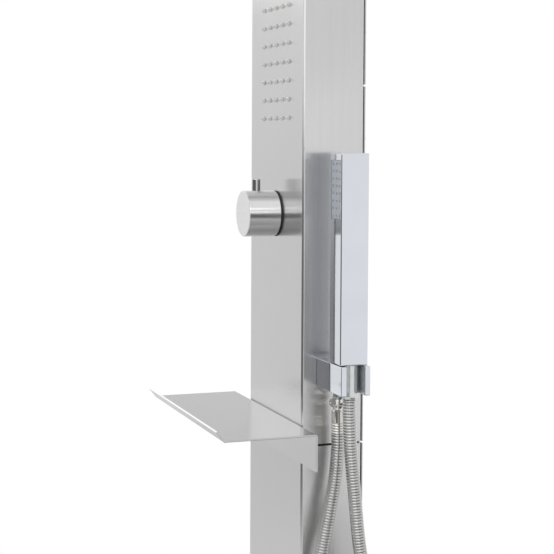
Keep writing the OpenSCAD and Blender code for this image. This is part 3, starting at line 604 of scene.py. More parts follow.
def catmull_rom(points: list[Vector], steps: int) -> list[Vector]:
    """Points of a smooth curve through a list of points.

    Args:
        points: the list.
        steps: new points from each of them to the next.

    Returns:
        The curve's points, from the list's first to its last.
    """
    curve = []
    for i in range(len(points) - 1):
        a, b = points[max(i - 1, 0)], points[i]
        c, d = points[i + 1], points[min(i + 2, len(points) - 1)]
        for k in range(steps):
            u = k / steps
            curve.append((2 * b + (c - a) * u + (2 * a - 5 * b + 4 * c - d) * u * u
                          + (3 * b - a - 3 * c + d) * u * u * u) / 2)
    return curve + [points[-1]]


def evenly(points: list[Vector], step: float) -> list[Vector]:
    """Points at equal steps along a line.

    Args:
        points: the line.
        step: about how far apart they are, in metres.

    Returns:
        The new points, from the line's first to its last.
    """
    reach = [0.0]
    for a, b in zip(points[:-1], points[1:]):
        reach.append(reach[-1] + (b - a).length)
    count = max(2, round(reach[-1] / step) + 1)
    out, j = [], 0
    for i in range(count):
        s = reach[-1] * i / (count - 1)
        while j < len(points) - 2 and reach[j + 1] < s:
            j += 1
        share = (s - reach[j]) / max(reach[j + 1] - reach[j], WELD)
        out.append(points[j].lerp(points[j + 1], min(share, 1.0)))
    return out


class Tree:
    """A Geometry Nodes tree with named inputs, built step by step."""

    def __init__(self, name: str, inputs: dict[str, str]) -> None:
        """Start the tree.

        Args:
            name: the tree's name.
            inputs: for each named input, the kind of its socket.
        """
        self.tree = bpy.data.node_groups.new(name, "GeometryNodeTree")
        face = self.tree.interface
        face.new_socket(name="Geometry", in_out="INPUT", socket_type="NodeSocketGeometry")
        face.new_socket(name="Geometry", in_out="OUTPUT", socket_type="NodeSocketGeometry")
        self.keys = {}
        for label, kind in {**inputs, "Material": "NodeSocketMaterial"}.items():
            self.keys[label] = face.new_socket(name=label, in_out="INPUT", socket_type=kind).identifier
        self.start = self.tree.nodes.new("NodeGroupInput")

    def given(self, label: str) -> bpy.types.NodeSocket:
        """The socket of one of the tree's inputs."""
        return self.start.outputs[label]

    def add(self, kind: str, links: dict | None = None, **settings: object) -> bpy.types.Node:
        """Add a node to the tree."""
        return add_node(self.tree, kind, settings, links)

    def maths(self, operation: str, *values: object) -> bpy.types.NodeSocket:
        """Work out a number from sockets or numbers."""
        node = self.add("ShaderNodeMath", dict(enumerate(values)), operation=operation)
        return node.outputs[0]

    def close(self, geometry: bpy.types.NodeSocket) -> None:
        """Realize the instances, set the material and end the tree."""
        real = self.add("GeometryNodeRealizeInstances", {0: geometry}).outputs[0]
        links = {"Geometry": real, "Material": self.given("Material")}
        last = self.add("GeometryNodeSetMaterial", links).outputs[0]
        self.add("NodeGroupOutput", {0: last})

    def grown(self, name: str, carrier: bpy.types.ID, values: dict) -> bpy.types.Object:
        """Run the tree on a carrier and keep its result as a plain mesh.

        Args:
            name: the new piece's name.
            carrier: the mesh or curve that the tree starts from.
            values: for each named input, its value.

        Returns:
            The new object.
        """
        holder = show(name + "_carrier", carrier)
        nodes = holder.modifiers.new("grow", "NODES")
        nodes.node_group = self.tree
        for label, value in values.items():
            nodes[self.keys[label]] = value
        return show(name, baked(holder, name))


@dataclass
class TurnedRepeat:
    """A small turned part, such as a screw head or a nozzle, set on every point of a list.

    Each step is (rise as a share of the height, scale of the face that is drawn up).
    """

    name: str
    steps: tuple[tuple[float, float], ...]
    radius: float
    height: float
    direction: Vector
    sides: int = 20

    def tree(self) -> Tree:
        """Build the tree that draws one part up from a disc and sets it on the points.

        Returns:
            The finished tree.
        """
        made = Tree(self.name, {"Radius": "NodeSocketFloat", "Height": "NodeSocketFloat",
                                "Sides": "NodeSocketInt", "Direction": "NodeSocketVector"})
        disc = {"Vertices": made.given("Sides"), "Radius": made.given("Radius")}
        foot = made.add("GeometryNodeMeshCircle", disc, fill_type="NGON").outputs[0]
        shape, top = foot, None
        for rise, scale in self.steps:
            lift = made.maths("MULTIPLY", made.given("Height"), rise)
            pull = {"Mesh": shape, "Offset Scale": lift, "Individual": False}
            if top is not None:
                pull["Selection"] = top
            drawn = made.add("GeometryNodeExtrudeMesh", pull, mode="FACES")
            top = drawn.outputs["Top"]
            resize = {"Geometry": drawn.outputs["Mesh"], "Selection": top, "Scale": scale}
            shape = made.add("GeometryNodeScaleElements", resize).outputs[0]
        under = made.add("GeometryNodeFlipFaces", {0: foot}).outputs[0]
        joined = made.add("GeometryNodeJoinGeometry")
        for part in (under, shape):
            made.tree.links.new(part, joined.inputs[0])
        closed = {"Geometry": joined.outputs[0], "Distance": WELD}
        whole = made.add("GeometryNodeMergeByDistance", closed).outputs[0]
        way = {"Vector": made.given("Direction")}
        turn = made.add("FunctionNodeAlignRotationToVector", way, axis="Z")
        spots = {"Points": made.given("Geometry"), "Instance": whole, "Rotation": turn.outputs[0]}
        made.close(made.add("GeometryNodeInstanceOnPoints", spots).outputs[0])
        return made

    def set_on(self, points: list[Vector], finish: Finish) -> bpy.types.Object:
        """Set the part on points.

        Args:
            points: where its foot's middle goes.
            finish: what it is made of.

        Returns:
            One object with all of them.
        """
        carrier = bpy.data.meshes.new(self.name + "_points")
        carrier.from_pydata([tuple(p) for p in points], [], [])
        values = {"Radius": self.radius, "Height": self.height, "Sides": self.sides,
                  "Direction": self.direction, "Material": finish.material()}
        return self.tree().grown(self.name, carrier, values)


@dataclass
class Assembly:
    """A group of pieces that ride on one body."""

    body: str = "column"
    pieces: list[bpy.types.Object] = field(default_factory=list)

    def settle(self, piece: bpy.types.Object, nodes: tuple[str, ...]) -> bpy.types.Object:
        """Let a finished object ride, and hide the CAD nodes that it stands for.

        Args:
            piece: the object.
            nodes: the CAD nodes that it replaces.

        Returns:
            The object.
        """
        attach(piece, self.body)
        if nodes:
            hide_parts(*nodes)
        self.pieces.append(piece)
        log.info("%s: %d faces on %s", piece.name, len(piece.data.polygons), self.body)
        return piece

    def publish(
        self, name: str, mesh: bpy.types.Mesh, finish: Finish, nodes: tuple[str, ...], slot: str,
        grain: Axis | None = None, centre: Vector | None = None,
    ) -> bpy.types.Object:
        """Make an object of a mesh, dress it and settle it.

        Args:
            name: the piece's name.
            mesh: its mesh.
            finish: its finish.
            nodes: the CAD nodes that it replaces.
            slot: the record's material slot; not used.
            grain: the grain's direction or axis, for a brushed or turned finish.
            centre: a point of that axis, for a turned one.

        Returns:
            The object.
        """
        piece = show(name, mesh)
        if grain is not None:
            lay_grain(mesh, grain, centre)
        mesh.materials.append(finish.material())
        soft_shade(piece)
        return self.settle(piece, nodes)

    def lathe(
        self, name: str, profile: list[tuple], foot: Vector, axis: Axis, sides: int, finish: Finish,
        nodes: tuple[str, ...], slot: str,
    ) -> bpy.types.Object:
        """Turn a piece and settle it, with its grain round the axis where its finish has one.

        Args:
            name: the piece's name.
            profile: (radius, distance along the axis) pairs, from one end to the other.
            foot: where the distance along the axis is 0.
            axis: the axis it is turned on.
            sides: facets round it.
            finish: its finish.
            nodes: the CAD nodes that it replaces.
            slot: the record's material slot.

        Returns:
            The object.
        """
        mesh = Form().turned(profile, foot, axis, sides).mesh(name)
        if isinstance(finish, BrushedMetal):
            return self.publish(name, mesh, finish, nodes, slot, axis, foot)
        return self.publish(name, mesh, finish, nodes, slot)

    def scatter(
        self, part: TurnedRepeat, points: list[Vector], finish: Finish, node: str, slot: str
    ) -> None:
        """Set a small turned part on points and settle the set as one piece.

        Args:
            part: the small part.
            points: where its foot's middle goes.
            finish: its finish.
            node: the CAD node that the set replaces.
            slot: the record's material slot; not used.
        """
        piece = part.set_on(points, finish)
        soft_shade(piece)
        self.settle(piece, (node,))

    def softened(
        self, name: str, node: str, finish: Finish, slot: str, bevel_mm: float,
        grain: Axis | None = None, segments: int = 2,
    ) -> bpy.types.Object:
        """Dress a copy of a CAD node whose edges are broken as on the real piece.

        Args:
            name: the piece's name.
            node: the CAD node.
            finish: its finish.
            slot: the record's material slot.
            bevel_mm: width of the broken edge.
            grain: the grain's direction, for a brushed finish.
            segments: facets across the edge.

        Returns:
            The object.
        """
        work = bmesh.new()
        work.from_mesh(frame["nodes"][node].data)
        bmesh.ops.remove_doubles(work, verts=work.verts, dist=WELD)
        bmesh.ops.dissolve_limit(work, angle_limit=math.radians(1), verts=work.verts, edges=work.edges)
        break_edges(work, bevel_mm, segments)
        mesh = bpy.data.meshes.new(name)
        work.to_mesh(mesh)
        work.free()
        return self.publish(name, mesh, finish, (node,), slot, grain)


def upright(node: str) -> tuple[Vector, float, float]:
    """Middle of the foot, radius and height of a CAD node that is round about an upright axis."""
    low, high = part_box(node)
    foot = Vector(((low.x + high.x) / 2, (low.y + high.y) / 2, low.z))
    return foot, (high.x - low.x) / 2, high.z - low.z


def seen_by(tree: bpy.types.NodeTree, *rays: str) -> bpy.types.NodeSocket:
    """Give 1 for the kinds of ray that are named and 0 for the others.

    Args:
        tree: the tree that it stands in.
        rays: names of the light path's outputs.

    Returns:
        The output.
    """
    path = add_node(tree, "ShaderNodeLightPath")
    found = path.outputs[rays[0]]
    for ray in rays[1:]:
        either = {0: found, 1: path.outputs[ray]}
        found = add_node(tree, "ShaderNodeMath", {"operation": "MAXIMUM"}, either).outputs[0]
    return found


@dataclass
class Studio:
    """White room with a pale floor, soft lamps, cards that only mirrors show, and the camera."""

    place: tuple[float, float, float] = (1.46231, -0.55296, 1.21810)
    right: tuple[float, float, float] = (0.334667, 0.942323, 0.005068)
    up: tuple[float, float, float] = (-0.050965, 0.012730, 0.998619)
    back: tuple[float, float, float] = (0.940957, -0.334463, 0.052286)
    sensor: float = 36.0
    lens: float = 91.94
    # The camera's axis meets the picture 60 of its 554 pixels above the middle
    drop: float = -60 / 554
    floor_reach: float = 30.0
    floor_white_from: float = 1.0
    floor_white_to: float = 2.2
    # The white round the shower as a light, where 1 is what the camera sees
    soft_light: float = 0.55
    lamp_size: tuple[float, float] = (1.6, 1.6)
    lamp_aim: tuple[float, float, float] = (0, 0, 1.1)
    # What brushed and chromed faces mirror: name, azimuths in degrees, distance and height of the
    # lower and of the upper edge in metres, brightness
    cards: tuple = (
        ("room_front_low", (-184, -142), ((1.9, 0.004), (2.45, 0.42)), 0.85),
        ("room_front", (-184, -142), ((2.45, 0.42), (10.0, 2.45)), 0.95),
        ("room_front_top", (-184, -142), ((10.0, 2.45), (10.0, 7.0)), 1.6),
        ("room_side_low", (-142, -29), ((3.0, 0.004), (4.0, 1.2)), 0.18),
        ("room_side", (-142, -75), ((4.0, 1.2), (4.0, 1.42)), 0.6),
        ("room_middle_low", (-29, -12), ((3.0, 0.004), (4.0, 0.85)), 0.33),
        ("room_middle", (-29, -22), ((4.0, 0.85), (4.0, 1.1)), 0.64),
        ("room_bright", (-75, -10), ((4.0, 1.21), (4.0, 2.6)), 1.5),
        ("room_above", (-75, -10), ((4.0, 2.6), (4.0, 9.0)), 1.8),
        ("floor_side", (-5, 75), ((0.7, 0.004), (2.0, 0.004)), 0.1),
        ("floor_right", (-8, 60), ((2.0, 0.004), (3.5, 0.004)), 0.74),
        ("floor_behind", (150, 192), ((2.2, 0.004), (5.0, 0.004)), 0.55),
        ("wall_behind", (135, 176), ((4.0, 0.3), (4.0, 1.16)), 1.7),
        ("wall_behind_top", (135, 182), ((4.0, 1.3), (4.0, 2.8)), 0.76),
        ("dark_wall", (-8, 60), ((3.6, 0.004), (3.6, 1.42)), 0.01),
        ("pale_wall", (-8, 60), ((4.1, 1.42), (4.1, 2.4)), 0.93),
    )
    # Clear cards, laid out alike, whose light the knob gets alone (INCLUDE) or doesn't get (EXCLUDE):
    # so the dark wall shows on the knob only, as a dark line under two bright ones
    glows: tuple = (
        ("side_light_low", (-8, 60), ((3.5, 0.004), (3.5, 0.19)), 0.86, "EXCLUDE"),
        ("side_light", (-8, 60), ((3.5, 0.19), (3.5, 1.42)), 1.0, "EXCLUDE"),
        ("gleam_low", (-45, 60), ((3.8, 1.5), (3.8, 1.95)), 1.3, "INCLUDE"),
        ("gleam_high", (-45, 60), ((3.8, 2.6), (3.8, 3.1)), 1.6, "INCLUDE"),
    )

    def camera(self) -> None:
        """Set the camera at the photograph's angle."""
        data = bpy.data.cameras.new("camera")
        data.sensor_width = self.sensor
        data.lens = self.lens
        data.shift_y = self.drop
        data.clip_start = 0.05
        data.clip_end = 200
        eye = show("camera", data)
        turn = Matrix((self.right, self.up, self.back)).transposed().to_4x4()
        eye.matrix_world = Matrix.Translation(self.place) @ turn
        bpy.context.scene.camera = eye

    def world(self) -> None:
        """Make the world white where it is seen or mirrored, and a soft grey light elsewhere."""
        world = bpy.data.worlds.new("studio")
        world.use_nodes = True
        tree = world.node_tree
        tree.nodes.clear()
        seen = seen_by(tree, "Is Camera Ray", "Is Glossy Ray", "Is Transmission Ray")
        ends = {"Value": seen, "To Min": self.soft_light, "To Max": 1.0}
        strength = add_node(tree, "ShaderNodeMapRange", None, ends).outputs["Result"]
        white = {"Color": (1, 1, 1, 1), "Strength": strength}
        light = add_node(tree, "ShaderNodeBackground", None, white)
        add_node(tree, "ShaderNodeOutputWorld", None, {"Surface": light.outputs[0]})
        bpy.context.scene.world = world

    def floor(self) -> None:
        """Lay a pale floor that keeps the shower's shadow and turns white further out."""
        form = Form()
        reach = self.floor_reach
        corners = [(-reach, -reach), (reach, -reach), (reach, reach), (-reach, reach)]
        form.faces.append(tuple(form.ring([Vector((x, y, 0)) for x, y in corners])))
        floor = show("floor", form.mesh("floor"))
        made = bpy.data.materials.new("floor_pale_paint")
        made.use_nodes = True
        tree = made.node_tree
        shader = tree.nodes["Principled BSDF"]
        shader.inputs["Base Color"].default_value = linear("#e6e6e4")
        shader.inputs["Roughness"].default_value = 0.9
        place = add_node(tree, "ShaderNodeTexCoord").outputs["Object"]
        far = add_node(tree, "ShaderNodeVectorMath", {"operation": "LENGTH"}, {0: place})
        ends = {"Value": far.outputs["Value"], "From Min": self.floor_white_from,
                "From Max": self.floor_white_to}
        share = add_node(tree, "ShaderNodeMapRange", {"interpolation_type": "SMOOTHSTEP"}, ends)
        both = {0: share.outputs[0], 1: seen_by(tree, "Is Camera Ray", "Is Glossy Ray")}
        shown = add_node(tree, "ShaderNodeMath", {"operation": "MULTIPLY"}, both)
        white = add_node(tree, "ShaderNodeEmission", None, {"Color": (1, 1, 1, 1), "Strength": 1.0})
        mix = add_node(tree, "ShaderNodeMixShader", None,
                       {0: shown.outputs[0], 1: shader.outputs[0], 2: white.outputs[0]})
        tree.links.new(mix.outputs[0], tree.nodes["Material Output"].inputs["Surface"])
        floor.data.materials.append(made)

    def lamp(self, name: str, place: tuple[float, float, float], power: float) -> None:
        """Hang a soft square lamp that faces the shower.

        Args:
            name: the lamp's name.
            place: its middle.
            power: in watts.
        """
        data = bpy.data.lights.new(name, "AREA")
        data.shape = "RECTANGLE"
        data.size, data.size_y = self.lamp_size
        data.energy = power
        lamp = show(name, data)
        way = (Vector(self.lamp_aim) - Vector(place)).to_track_quat("-Z", "Y")
        lamp.matrix_world = Matrix.LocRotScale(Vector(place), way, None)
        lamp.visible_glossy = False

    def card(
        self, name: str, azimuths: tuple[float, float], edges: tuple[tuple, tuple], light: float
    ) -> bpy.types.Object:
        """Bend a card of even light round the shower, which only what is mirrored shows.

        Args:
            name: the card's name.
            azimuths: its two ends in degrees, from +X towards +Y.
            edges: distance from the column and height of its lower and of its upper edge.
            light: its brightness, where the white round it is 1.

        Returns:
            The card.
        """
        form = Form()
        steps = 24
        turns = [math.radians(azimuths[0] + (azimuths[1] - azimuths[0]) * i / steps)
                 for i in range(steps + 1)]
        rows = [form.ring([Vector((math.cos(t) * far, math.sin(t) * far, z)) for t in turns])
                for far, z in edges]
        form.bridge(rows[0], rows[1], closed=False)
        card = show(name, form.mesh(name))
        made = bpy.data.materials.new(name + "_cloth")
        made.use_nodes = True
        tree = made.node_tree
        tree.nodes.clear()
        white = {"Color": (1, 1, 1, 1), "Strength": light}
        glow = add_node(tree, "ShaderNodeEmission", None, white)
        add_node(tree, "ShaderNodeOutputMaterial", None, {"Surface": glow.outputs[0]})
        card.data.materials.append(made)
        card.visible_camera = False
        card.visible_shadow = False
        card.visible_diffuse = False
        return card

    def light_knob(self, pieces: list[bpy.types.Object]) -> None:
        """Hang the clear cards whose light the knob gets alone or doesn't get.

        Args:
            pieces: the knob's pieces.
        """
        for name, azimuths, edges, light, state in self.glows:
            card = self.card(name, azimuths, edges, light)
            tree = card.data.materials[0].node_tree
            clear = add_node(tree, "ShaderNodeBsdfTransparent")
            both = {0: tree.nodes["Emission"].outputs[0], 1: clear.outputs[0]}
            through = add_node(tree, "ShaderNodeAddShader", None, both)
            tree.links.new(through.outputs[0], tree.nodes["Material Output"].inputs["Surface"])
            links = bpy.data.collections.new(name + "_pieces")
            for piece in pieces:
                links.objects.link(piece)
            for link in links.collection_objects:
                link.light_linking.link_state = state
            card.light_linking.receiver_collection = links

    def build(self) -> None:
        """Set up the white round the shower, its floor, lamps and cards."""
        bpy.context.scene.view_settings.view_transform = "Standard"
        self.world()
        self.floor()
        self.lamp("key", (-2.4, -3.0, 3.0), 60)
        self.lamp("fill", (3.4, 2.2, 2.8), 45)
        for name, azimuths, edges, light in self.cards:
            self.card(name, azimuths, edges, light)


@dataclass
class Hose:
    """Ribbed steel hose that hangs in a long loop from the outlet to the hand shower.

    It is one hose, made in two stretches that meet at the loop's lowest point; the first rides on the
    column, and the second, at the hand shower's end, is left unattached.
    """

    diameter: float = 14 * MM
    groove: float = 1.0 * MM
    ribs: int = 500
    samples: int = 6
    straight: float = 14 * MM
    sides: int = 18
    start: Vector = Vector((106.4, -2.5, 916)) * MM
    end: Vector = Vector((137, -2.5, 957)) * MM
    # From a rib's crest, as shares of the pitch: where its flank starts and where the groove is full
    flank: tuple[float, float] = (0.26, 0.46)
    # Length at the hand shower's end that goes with it unbent
    stiff_end: float = 30 * MM
    # The same route as the solid's, in millimetres
    loop: tuple = (
        (106, -5, 870), (106, -11, 835), (106, -19, 795), (106, -37, 705), (106, -56, 610),
        (106, -71, 515), (107, -79, 430), (108, -80, 365), (109, -70, 297), (111, -44, 253),
        (113, -4, 234), (115, 39, 246), (118, 69, 281), (120, 81, 340), (122, 82, 410),
        (125, 74, 495), (129, 58, 590), (133, 38, 680), (136, 21, 750), (137, 10, 805),
        (137, 4, 860), (137, 0, 900),
    )

    def route(self) -> list[Vector]:
        """The hose's middle line, with as many points as its ribs need."""
        down = Axis.Z.vector * self.straight
        knots = [self.start - down, *[Vector(p) * MM for p in self.loop], self.end - down]
        line = [self.start, self.start - down / 2, *catmull_rom(knots, 20), self.end]
        return evenly(line, length_of(line) / (self.ribs * self.samples))

    def tree(self) -> Tree:
        """Build the tree that sweeps a circle along the line and draws it in between the ribs.

        Returns:
            The finished tree.
        """
        made = Tree("hose_ribs", {"Radius": "NodeSocketFloat", "Groove": "NodeSocketFloat",
                                  "Pitch": "NodeSocketFloat", "Sides": "NodeSocketInt"})
        along = made.add("GeometryNodeSplineParameter").outputs["Length"]
        phase = made.maths("FRACT", made.maths("DIVIDE", along, made.given("Pitch")))
        away = made.maths("ABSOLUTE", made.maths("SUBTRACT", phase, 0.5))
        ends = {"Value": away, "From Min": self.flank[0], "From Max": self.flank[1]}
        dip = made.add("ShaderNodeMapRange", ends, interpolation_type="SMOOTHSTEP").outputs["Result"]
        depth = made.maths("DIVIDE", made.given("Groove"), made.given("Radius"))
        size = made.maths("SUBTRACT", 1.0, made.maths("MULTIPLY", depth, dip))
        circle = {"Resolution": made.given("Sides"), "Radius": made.given("Radius")}
        ring = made.add("GeometryNodeCurvePrimitiveCircle", circle).outputs["Curve"]
        sweep = {"Curve": made.given("Geometry"), "Profile Curve": ring, "Scale": size,
                 "Fill Caps": True}
        tube = made.add("GeometryNodeCurveToMesh", sweep).outputs["Mesh"]
        smooth = made.add("GeometryNodeSetShadeSmooth", {0: tube}).outputs[0]
        made.close(smooth)
        return made

    def stretch(self, name: str, line: list[Vector], tree: Tree) -> bpy.types.Object:
        """Make one stretch of the hose.

        Args:
            name: the piece's name.
            line: its middle line.
            tree: the tree that ribs it.

        Returns:
            The piece.
        """
        curve = bpy.data.curves.new(name, "CURVE")
        curve.dimensions = "3D"
        spline = curve.splines.new("POLY")
        spline.points.add(len(line) - 1)
        for point, place in zip(spline.points, line):
            point.co = (*place, 1.0)
        ribs = round((len(line) - 1) / self.samples)
        values = {"Radius": self.diameter / 2, "Groove": self.groove, "Sides": self.sides,
                  "Pitch": length_of(line) / ribs, "Material": Finishes.wound.material()}
        piece = tree.grown(name, curve, values)
        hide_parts("hose")
        return piece

    def build(self) -> None:
        """Make both stretches."""
        line = self.route()
        lowest = min(range(0, len(line), self.samples), key=lambda i: line[i].z)
        tree = self.tree()
        first, second = line[: lowest + 1], line[lowest:]
        fixed = self.stretch("hose_outlet_side", first, tree)
        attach(fixed, "column")
        moving = self.stretch("hose_hand_side", second, tree)
        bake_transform(moving)


@dataclass
class Column(Assembly):
    """Two folded channels, their back covers, the screws and the foot."""

    sheet: float = 2 * MM
    fold: float = 2.6 * MM
    returns: float = 18 * MM
    screw_radius: float = 4.5 * MM
    screw_height: float = 3.2 * MM
    solid_screw_height: float = 2 * MM
    # From a cover's end to its first screw, for the lower cover and for the upper two
    lower_margin: float = 100 * MM
    upper_margin: float = 55 * MM

    def channel(self, name: str, node: str) -> None:
        """Fold one channel.

        Args:
            name: the piece's name.
            node: the CAD node that it replaces.
        """
        low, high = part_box(node)
        half = self.sheet / 2
        x, front, back = high.x - half, low.y + half, high.y - half
        inner = high.x - self.returns
        path = [(inner, back), (x, back), (x, front), (-x, front), (-x, back), (-inner, back)]
        left, right = bent_sheet(path, self.sheet, self.fold - half)
        rise = Vector((0, 0, high.z - low.z))
        foot = Vector((0, 0, low.z))
        form = Form().strip([p.to_3d() + foot for p in left], [p.to_3d() + foot for p in right], rise)
        self.publish(name, form.mesh(name, bevel_mm=0.35), Finishes.sheet, (node,), "brushed_steel", Axis.Z)

    def cover(self, node: str) -> None:
        """Cut one back cover.

        Args:
            node: the CAD node that it replaces.
        """
        low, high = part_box(node)
        name = node + "_sheet"
        mesh = Form().box(low, high).mesh(name, bevel_mm=0.45)
        self.publish(name, mesh, Finishes.cover, (node,), "cover_steel", Axis.Z)

    def screws(self, node: str, heights: list[float], name: str) -> None:
        """Set pan-head screws with a socket in two rows.

        Args:
            node: the CAD node that they replace.
            heights: of the screws.
            name: the piece's name.
        """
        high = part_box(node)[1]
        row, back = high.x - self.screw_radius, high.y - self.solid_screw_height
        steps = ((0.35, 1.0), (0.3, 0.93), (0.2, 0.85), (0.15, 0.8), (0.0, 0.62), (-0.5, 0.96))
        head = TurnedRepeat(name, steps, self.screw_radius, self.screw_height, Axis.Y.vector, sides=24)
        places = [Vector((x, back, z)) for x in (-row, row) for z in heights]
        self.scatter(head, places, Finishes.screws, node, "fixings")

    def build(self) -> None:
        """Make the column and its foot."""
        self.channel("lower_section", "lower_channel")
        self.channel("upper_section", "upper_channel")
        for node in ("lower_cover", "middle_cover", "upper_cover"):
            self.cover(node)
        lower = self.heights("lower_cover", 3, self.lower_margin)
        self.screws("lower_cover_screws", lower, "lower_screw_heads")
        upper = [z for cover, count in (("middle_cover", 2), ("upper_cover", 3))
                 for z in self.heights(cover, count, self.upper_margin)]
        self.screws("upper_cover_screws", upper, "upper_screw_heads")
        self.softened("floor_plate_cut", "floor_plate", Finishes.plate, "plate_steel", bevel_mm=0.6)

    def heights(self, node: str, count: int, margin: float) -> list[float]:
        """Heights of the screws in a cover.

        Args:
            node: the cover.
            count: of screws in a row.
            margin: from the cover's ends to the first and the last of them.

        Returns:
            The heights.
        """
        low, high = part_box(node)
        first, last = low.z + margin, high.z - margin
        return [first + (last - first) * i / (count - 1) for i in range(count)]


@dataclass
class RainArm(Assembly):
    """Folded arm on the column's top, with the rain plate and its nozzles below."""

    nozzle_radius: float = 2.5 * MM
    pitch: float = 20 * MM

    def build(self) -> None:
        """Make the arm, its floor, the rain plate and the nozzles."""
        for name, node, bevel_mm, segments in (("arm_tray", "arm_shell", 1.6, 4),
                                               ("arm_underside", "arm_floor", 0.2, 1),
                                               ("rain_face", "rain_plate", 0.3, 1)):
            self.softened(name, node, Finishes.sheet, "brushed_steel", bevel_mm, Axis.Y, segments)
        low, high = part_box("rain_nozzles")
        radius = self.nozzle_radius
        columns = round((high.x - low.x - 2 * radius) / self.pitch) + 1
        rows = round((high.y - low.y - 2 * radius) / self.pitch) + 1
        spots = [Vector((low.x + radius + i * self.pitch, low.y + radius + j * self.pitch, high.z))
                 for i in range(columns) for j in range(rows)]
        steps = ((0.75, 1.0), (0.1, 0.9), (0.15, 0.75), (0.0, 0.5), (-0.5, 0.9))
        down = -Axis.Z.vector
        nozzle = TurnedRepeat("rain_nozzle_set", steps, radius, high.z - low.z, down, sides=14)
        self.scatter(nozzle, spots, Finishes.silicone, "rain_nozzles", "silicone")


@dataclass
class BodyJets(Assembly):
    """Grid of small tapered jets in the column's front."""

    columns: int = 5
    rows: int = 7
    pitch: float = 20 * MM
    radius: float = 2.8 * MM
    # How far each jet's foot lies inside the column's front face
    sunk: float = 0.6 * MM

    def build(self) -> None:
        """Make the jets."""
        low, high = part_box("jets")
        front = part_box("upper_channel")[0].y
        edge = (high.x - low.x - (self.columns - 1) * self.pitch) / 2
        xs = [low.x + edge + i * self.pitch for i in range(self.columns)]
        zs = [low.z + edge + i * self.pitch for i in range(self.rows)]
        base = Vector((0, front + self.sunk, 0))
        steps = ((0.2, 1.0), (0.12, 0.97), (0.2, 0.82), (0.2, 0.78), (0.18, 0.72), (0.1, 0.72),
                 (0.0, 0.55), (-0.4, 0.9))
        out = -Axis.Y.vector
        jet = TurnedRepeat("body_jet_set", steps, self.radius, base.y - low.y, out, sides=18)
        spots = [base + Vector((x, 0, z)) for x in xs for z in zs]
        self.scatter(jet, spots, Finishes.silicone, "jets", "silicone")


@dataclass
class Knob(Assembly):
    """A turned knob with its pin and the rubber ring behind it."""

    prefix: str = "mixer"
    edge: float = 0.8 * MM
    # How deep the front is dished, and how deep and wide, as a share, the back is hollow
    dish: float = 0.25 * MM
    hollow: float = 2 * MM
    hollow_share: float = 0.75
    ring_edge: float = 0.3 * MM
    ring_wall: float = 7 * MM

    def build(self) -> None:
        """Make the knob, the pin and the ring."""
        low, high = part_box(self.prefix + "_knob")
        radius, length = (high.x - low.x) / 2, high.y - low.y
        middle = Vector((0, low.y, (low.z + high.z) / 2))
        dish, edge, inner = self.dish, self.edge, radius * self.hollow_share
        turns = [math.radians(22.5 * i) for i in range(5)]
        rim = [(radius - edge * (1 - math.sin(a)), edge * (1 - math.cos(a))) for a in turns]
        profile = [(0, dish), (radius * 0.55, dish * 0.7), (radius * 0.9, dish * 0.12), *rim,
                   (radius, length - edge), (radius - edge / 2, length), (inner, length),
                   (inner, length - self.hollow), (0, length - self.hollow)]
        self.lathe(self.prefix + "_knob_turned", profile, middle, Axis.Y, 96, Finishes.turned,
                   (self.prefix + "_knob",), "satin_steel")
        self.pin()
        self.ring()

    def pin(self) -> None:
        """Turn the pin."""
        foot, r, tall = upright(self.prefix + "_pin")
        profile = [(0, 0), (r, 0), (r, tall - 1.0 * MM), (r - 0.1 * MM, tall - 0.55 * MM),
                   (r - 0.35 * MM, tall - 0.2 * MM), (r - 0.8 * MM, tall), (0, tall)]
        self.lathe(self.prefix + "_pin_turned", profile, foot, Axis.Z, 40, Finishes.polished,
                   (self.prefix + "_pin",), "satin_steel")

    def ring(self) -> None:
        """Mould the rubber ring between knob and column, which stays with the column."""
        low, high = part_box(self.prefix + "_gasket")
        r, e, deep = (high.x - low.x) / 2, self.ring_edge, high.y - low.y
        inner = r - self.ring_wall
        foot = Vector((0, low.y, (low.z + high.z) / 2))
        profile = [(inner, 0), (r - e, 0), (r - e * 0.3, e * 0.3), (r, e), (r, deep), (inner, deep)]
        body, self.body = self.body, "column"
        self.lathe(self.prefix + "_ring_moulded", profile, foot, Axis.Y, 96, Finishes.rubber,
                   (self.prefix + "_gasket",), "gasket_rubber")
        self.body = body


@dataclass
class Shelf(Assembly):
    """Bent sheet shelf: flange, tray and raised lip."""

    sheet: float = 2 * MM
    bend: float = 2.2 * MM
    lip_out: float = 8 * MM
    lip_up: float = 10 * MM
    # How far behind its tip the lip's bend lies
    lip_back: float = 8.16 * MM
    # From this share of the lip's direction on, a face's normal shows that it is the cut end
    cut_end: float = 0.85

    def build(self) -> None:
        """Bend the shelf."""
        low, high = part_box("shelf")
        half = self.sheet / 2
        top = high.z - self.lip_up
        slope = math.hypot(self.lip_out, self.lip_up)
        tip = (low.y + half * self.lip_up / slope, high.z - half * self.lip_out / slope)
        turn = (tip[0] + self.lip_back, top - half)
        path = [(high.y - half, low.z), (high.y - half, top - half), turn, tip]
        left, right = bent_sheet(path, self.sheet, self.bend)
        place = [[Vector((low.x, p.x, p.y)) for p in side] for side in (left, right)]
        form = Form().strip(place[0], place[1], Vector((high.x - low.x, 0, 0)))
        mesh = form.mesh("shelf_bent", bevel_mm=0.3)
        self.publish("shelf_bent", mesh, Finishes.satin, ("shelf",), "satin_steel", Axis.X)
        mesh.materials.append(Finishes.buffed.material())
        edge = Vector((0, -self.lip_out, self.lip_up)).normalized()
        for face in mesh.polygons:
            if face.normal.dot(edge) > self.cut_end and face.center.z > top + self.lip_up / 2:
                face.material_index = 1


